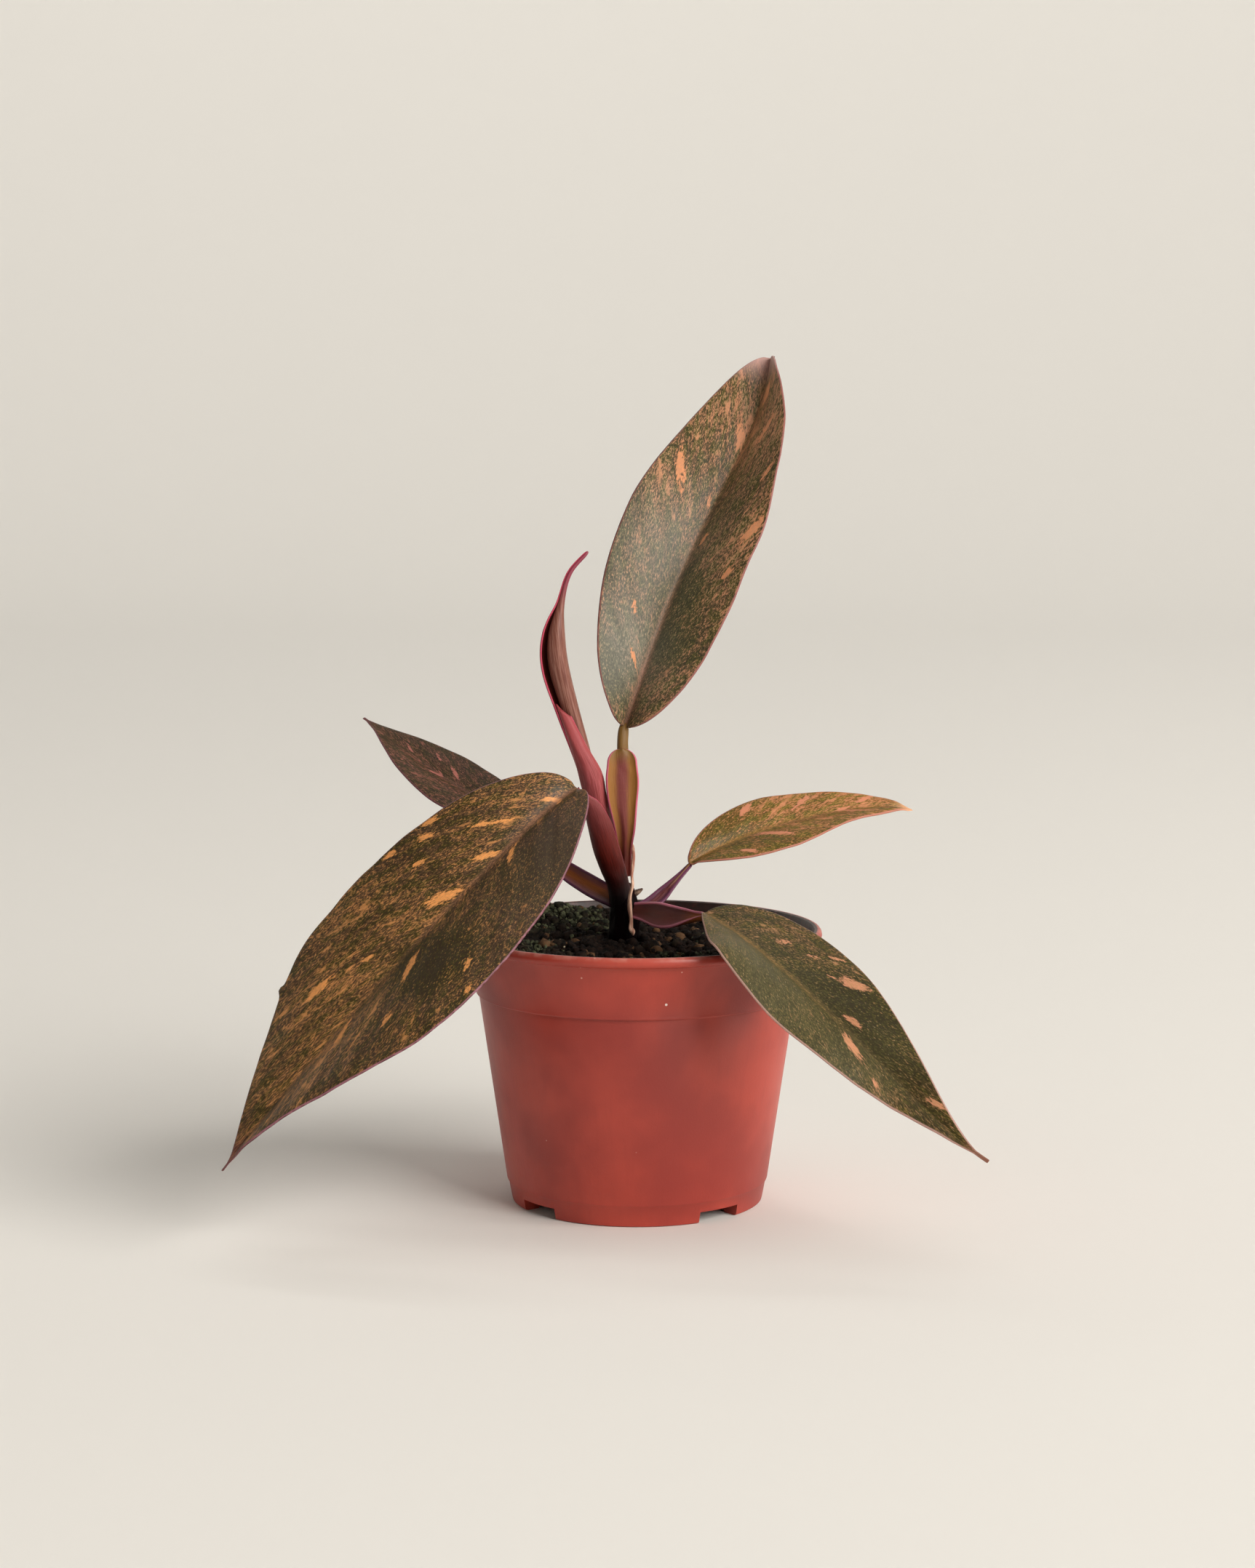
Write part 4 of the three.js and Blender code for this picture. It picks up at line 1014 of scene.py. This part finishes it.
class Spine:
    # the midrib of a leaf, measured along its length

    def __init__(self, leaf):
        steps = shared["spineSteps"]
        self.leaf = leaf
        self.points = [bezierAt(leaf["midrib"], k / steps) for k in range(steps + 1)]
        self.reach = [0.0]
        for a, b in zip(self.points, self.points[1:]):
            self.reach.append(self.reach[-1] + (b - a).length)
        self.length = self.reach[-1]
        self.rowCache = {}

    def rowAt(self, s):
        # point, tangent, side, face and half width at s
        key = round(s, 6)
        if key in self.rowCache:
            return self.rowCache[key]
        wanted = min(max(s, 0), 1) * self.length
        low, high = 0, len(self.reach) - 1
        while high - low > 1:
            middle = (low + high) // 2
            low, high = (middle, high) if self.reach[middle] < wanted else (low, middle)
        part = (wanted - self.reach[low]) / (self.reach[high] - self.reach[low])
        point = self.points[low].lerp(self.points[high], part)
        tangent = (self.points[high] - self.points[low]).normalized()
        face = Vector(self.leaf["face"])
        face = (face - tangent * face.dot(tangent)).normalized()
        first, last = self.leaf["roll"]
        face = Matrix.Rotation(math.radians(first + (last - first) * s), 3, tangent) @ face
        row = (point, tangent, tangent.cross(face), face, halfWidthAt(self.leaf, s))
        self.rowCache[key] = row
        return row


def halfWidthAt(leaf, s):
    widest, (c, d) = leaf["widestAt"], leaf["taper"]
    if s < widest:
        shape = (1 - ((widest - s) / widest) ** 2) ** leaf["base"]
    else:
        shape = max(0.0, 1 - ((s - widest) / (1 - widest)) ** c) ** d
    return max(leaf["halfWidth"] * shape, shared["narrowest"])


def veinPlace(length, along, across):
    # where the side vein leaves the midrib, the distance square to the veins, and the distance out along
    # them; the veins spread widely near the base and lie closer to the midrib near the tip
    slope, bend = shared["veinSlope"], shared["veinBend"] / length
    start = (along - slope * abs(across)) / (1 + bend * abs(across))
    steep = slope + bend * start
    return start, (math.asinh(steep) - math.asinh(slope)) / bend, across * math.hypot(1, steep)


def fleckAt(leaf, length, along, across):
    # strength of the nearest fleck; none reaches over the midrib
    p, q = veinPlace(length, along, across)[1:]
    best = 0.0
    for s, fleckAcross, fleckLength, fleckWidth in leaf["flecks"]:
        if fleckAcross * across < 0 and abs(across) > 0.6:
            continue
        fleckP, fleckQ = veinPlace(length, s * length, fleckAcross)[1:]
        out = math.hypot((p - fleckP) / (0.5 * fleckWidth), (q - fleckQ) / (0.5 * fleckLength))
        best = max(best, shared["fleckCore"] - out)
    return best


def zoneAt(zones, length, along, across):
    total = 0.0
    for s, zoneAcross, reach, amount in zones:
        total += amount * bell(math.hypot(along - s * length, across - zoneAcross), reach)
    return total


def makeBlade(name, leaf, material):
    spine = Spine(leaf)
    length, seed = spine.length, leaf["seed"]

    def placeAt(turn, step):
        s = crowd(step, 0.8)
        point, tangent, side, face, width = spine.rowAt(s)
        upper, tau = acrossFaces(turn)
        v = 2 * tau - 1 - 0.5 * math.sin(2 * fullTurn * tau) / fullTurn
        if "nub" in leaf:
            nubAt, nubSide, nubRise = leaf["nub"]
            if v * nubSide > 0:
                width += nubRise * bell((s - nubAt) * length, 0.7) * smoothStep(0.9, 1, abs(v))
        along, across = s * length, width * v
        distance = width * (1 - abs(v))
        flat = smoothStep(shared["narrowest"], shared["foldStart"], width)
        fold = flat * math.radians(leaf["fold"] + leaf["endFold"] * (2 * s - 1) ** 4)
        forward = 0.0
        if "droop" in leaf and v > 0:
            # the near half hangs down beside the petiole, and is set forward
            droop, share, reach = leaf["droop"]
            hang = (1 - smoothStep(0, reach, s)) * flat
            fold -= hang * math.radians(droop)
            forward = hang * share * width * v
        soft = shared["foldSoft"]
        crease = math.sqrt(v * v + soft * soft) - soft  # softens the fold at the midrib
        tilt = fold * v / math.sqrt(v * v + 0.004)
        normal = face * math.cos(tilt) - side * math.sin(tilt)
        middle = point + side * (width * v * math.cos(fold)) + face * (width * crease * math.sin(fold))
        middle += tangent * forward
        # the halves arch a little, the margin waves, and side veins sit in shallow furrows
        rise = shared["arch"] * width * (4 * abs(v) * (1 - abs(v))) * flat
        rise += shared["wave"] * v * v * ripple(seed, along * shared["waveRate"], v, 0) * flat
        rate = shared["dimpleRate"]
        rise += shared["dimple"] * ripple(seed + 5, along * rate, across * rate, 0) * flat
        start, p, q = veinPlace(length, along, across)
        phase = start / shared["lateralGap"]
        furrow = bell(phase - round(phase), shared["lateralWidth"])
        inBlade = smoothStep(0.6, 2.5, abs(across)) * smoothStep(0.3, 3, distance)
        rise -= shared["lateralDepth"] * furrow * inBlade * flat
        half = shared["body"]
        if distance < shared["marginRound"]:
            half *= rounded(1 - distance / shared["marginRound"])
        if s > 0.5:
            half *= max(shared["tipBody"], min(1.0, width / 1.5))
        keys = ("ribTop", "ribTrough") if upper else ("ribKeel", "keelTrough")
        crest, trench = [height * bell(across, reach) for height, reach in map(shared.get, keys)]
        rib = (1 - 0.75 * s) * flat * (crest - trench)
        if upper:
            rise += rib
            lift = half
        else:
            lift = -half - rib
        endCap = rounded(2 * step - 1, 60)
        location = middle + normal * (rise + lift * endCap)
        if endCap < 0.02:
            location = point
        density = zoneAt(leaf["zones"], length, along, across)
        # painted sheen: grey haze patches that stand in for reflected light
        paintedSheen = zoneAt(leaf["paintedSheen"], length, along, across)
        fleck = fleckAt(leaf, length, along, across)
        marks = (s, density, fleck)
        return location, [(p, q, seed), (across, distance, 0 if upper else 1), marks, (paintedSheen, 0, 0)]

    bm = closedGrid(2 * leaf["cols"], leaf["rows"], placeAt, ["vein", "place", "marks", "shades"])
    piece = addPiece(name + "_blade", bm, material)
    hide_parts(name)
    return piece


underShade = (70, 34, 32)
leafPatterns = {
    # how fast each changes square to the veins and along them, then shift, detail, roughness and distortion
    "broad": (0.1, 0.05, (0, 0, 0), 2, 0.5, 0),
    "bands": (0.55, 0.07, (3, 7, 0), 3, 0.6, 0),
    "medium": (1.0, 0.36, (5, 1, 0), 4, 0.64, 0.25),
    "grain": (3.1, 1.5, (0, 0, 0), 3, 0.7, 0.15),
    "dots": (5.6, 3.4, (9, 4, 0), 2, 0.6, 0),
    "hue": (0.9, 0.4, (2, 2, 0), 2, 0.5, 0),
}


def leafFinish(name, tones):
    # patterns of variegation drawn out along the side veins, from broad bands down to fine speckle
    look = Finish(name + "Skin", 0.45, 0.22)
    vein = look.attribute("vein")
    across, distance, under = look.parts(look.attribute("place"))[:3]
    run, density, fleck = look.parts(look.attribute("marks"))[:3]
    paintedSheen = look.parts(look.attribute("shades"))[0]
    aside = look.math("ABSOLUTE", across)

    made = {}
    for pattern, (squareTo, outAlong, shift, detail, roughness, distortion) in leafPatterns.items():
        drawn = look.scaled(vein, (squareTo, outAlong, 1), shift)
        made[pattern] = look.noise(drawn, 1, detail, roughness, distortion)
    broad, bands, medium, grain, dots, hue = made.values()

    heavy = look.math("MULTIPLY_ADD", density, 0.07, look.swing(broad, 0.2, 0))
    streaked = look.swing(bands, 0.28, heavy)
    speckled = look.swing(dots, 0.8, grain)
    mottle = look.math("ADD", speckled, streaked)
    greenness = look.math("MAXIMUM", look.between(hue, 0.44, 0.58), look.between(density, -0.1, -0.7))
    middle = look.mix(greenness, tones["brown"], tones["green"])
    tone = look.mix(look.between(mottle, 0.38, 0.5), tones["dark"], middle)
    warm = look.mix(look.between(hue, 0.4, 0.6), tones["medium"], tones["fine"])
    tone = look.mix(look.times(look.between(mottle, 0.53, 0.66), tones["fill"]), tone, warm)
    patches = look.between(look.math("ADD", medium, streaked), 0.59, 0.7)
    tone = look.mix(look.times(patches, 0.75), tone, tones["medium"])
    # painted sheen: the leaf is greyed where it would reflect the light, as a haze (a dark grey-purple one on
    # the left leaf)
    paintedSheenMask = look.times(paintedSheen, look.between(mottle, 0.3, 0.6, 0.5, 0.9))
    tone = look.mix(paintedSheenMask, tone, tones["paintedSheen"])
    tone = look.mix(look.between(dots, 0.66, 0.74, 0, 0.6), tone, tones["pale"])

    # the large flecks, with ragged edges
    ragged = look.swing(grain, 1.8, look.swing(medium, 2.2, fleck))
    largeTone = look.mix(look.between(speckled, 0.4, 0.6), tones["medium"], tones["large"])
    tone = look.mix(look.between(ragged, 0.55, 1.0, 0, 0.92), tone, largeTone)

    rib = look.times(look.between(aside, tones["ribWidth"], 0.1), look.between(run, 0.8, 0.0, 0.05, 0.85))
    rib = look.times(rib, look.between(mottle, 0.35, 0.6, 0.35, 1))
    tone = look.mix(rib, tone, tones["midrib"])
    edge = look.times(look.between(distance, 0.3, 0.12), 0.85)
    tone = look.mix(edge, tone, tones["margin"])
    tone = look.mix(look.between(run, 0.9, 1.0, 0, 0.85), tone, tones["tip"])
    underTone = look.mix(look.between(grain, 0.4, 0.6), tones["under"], underShade)
    underTone = look.mix(look.between(aside, 1.0, 0.3), underTone, tones["midrib"])
    tone = look.mix(under, tone, underTone)

    look.bump(look.math("MULTIPLY_ADD", bands, 1.5, grain), 0.05 * mm, 0.6)
    return look.finish(tone, look.between(grain, 0.3, 0.7, 0.4, 0.52))


for leafName, leaf in leaves.items():
    makeBlade(leafName, leaf, leafFinish(leafName, leafTones[leafName]))
    print("blade made:", leafName)


# Stage, lights and camera

stage = {"flatRadius": 1.4, "bowlRadius": 3.2, "bowlHeight": 2.2, "bowlSteps": 24, "segments": 96,
         "colour": (235, 232, 226), "paintedLightWallColour": (250, 248, 243)}


def makeStage():
    # a flat disc that curves up all round without a seam
    bm = bmesh.new()
    outline = [bm.verts.new((0, 0, 0)), bm.verts.new((stage["flatRadius"], 0, 0))]
    bowl = stage["bowlRadius"] - stage["flatRadius"]
    for k in range(1, stage["bowlSteps"] + 1):
        angle = math.pi / 2 * k / stage["bowlSteps"]
        x, z = stage["flatRadius"] + bowl * math.sin(angle), stage["bowlHeight"] * (1 - math.cos(angle))
        outline.append(bm.verts.new((x, 0, z)))
    edges = [bm.edges.new(pair) for pair in zip(outline, outline[1:])]
    bmesh.ops.spin(
        bm, geom=outline + edges, cent=(0, 0, 0), axis=(0, 0, 1), angle=fullTurn,
        steps=stage["segments"], use_merge=True)
    bmesh.ops.remove_doubles(bm, verts=bm.verts, dist=0.1 * mm)
    bmesh.ops.recalc_face_normals(bm, faces=bm.faces)
    for face in bm.faces:
        face.smooth = True
        if face.normal.z < 0:
            face.normal_flip()
    look = Finish("paleFloor", 0.9, 0.1)
    height = look.parts(look.objectPlace())[2]
    # painted light: the wall is painted paler as it rises, making up for the light it gets less of than the
    # floor
    rise = look.between(height, 0, stage["bowlHeight"])
    floor = addObject("paleFloor", meshFrom(bm, "paleFloor"))
    floor.data.materials.append(look.finish(look.mix(rise, stage["colour"], stage["paintedLightWallColour"])))


lights = {
    # place, the point it shines at, width and height in metres, power in watts and tint
    "key": {"place": (1.58, -1.12, 1.12), "target": (0, 0, 0.06), "size": (2.0, 1.2), "power": 68,
            "tint": (1.0, 0.97, 0.93)},
    "window": {"place": (-1.7, 1.3, 1.5), "target": (0, 0, 0.06), "size": (1.5, 1.5), "power": 1.5,
               "tint": (0.9, 0.96, 1.0)},
    "overhead": {"place": (-0.2, 0.1, 2.6), "target": (0, 0, 0.06), "size": (1.8, 1.8), "power": 9,
                 "tint": (1.0, 0.985, 0.96)},
    "wallWash": {"place": (0, 1.5, 2.6), "target": (0.4, 3, 0.9), "size": (2.4, 0.8), "power": 23,
                 "tint": (1.0, 0.98, 0.95)},
}
roomGlow, roomTint = 0.02, (1.0, 0.98, 0.95, 1)


def makeLights():
    for name, light in lights.items():
        lamp = bpy.data.lights.new(name, "AREA")
        lamp.shape = "RECTANGLE"
        lamp.size, lamp.size_y = light["size"]
        lamp.energy = light["power"]
        lamp.color = light["tint"]
        holder = addObject(name, lamp)
        holder.location = light["place"]
        aim = Vector(light["target"]) - holder.location
        holder.rotation_euler = aim.to_track_quat("-Z", "Y").to_euler()
    world = bpy.data.worlds.new("softRoom")
    world.use_nodes = True
    background = world.node_tree.nodes["Background"]
    background.inputs[0].default_value = roomTint
    background.inputs[1].default_value = roomGlow
    bpy.context.scene.world = world
    bpy.context.scene.view_settings.view_transform = "Standard"


camera = {"place": (-0.00158, -0.5, 0.1267), "pitch": 6.69, "focalPixels": 4281, "photoHeight": 2156,
          "sensor": 36, "nearest": 0.01}


def makeCamera():
    lens = bpy.data.cameras.new("photoCamera")
    lens.sensor_width = camera["sensor"]
    lens.lens = camera["focalPixels"] / camera["photoHeight"] * camera["sensor"]
    lens.clip_start = camera["nearest"]
    holder = addObject("photoCamera", lens)
    holder.location = camera["place"]
    holder.rotation_euler = (math.radians(90 - camera["pitch"]), 0, 0)
    bpy.context.scene.camera = holder


makeStage()
makeLights()
makeCamera()
print("stage, lights and camera made")
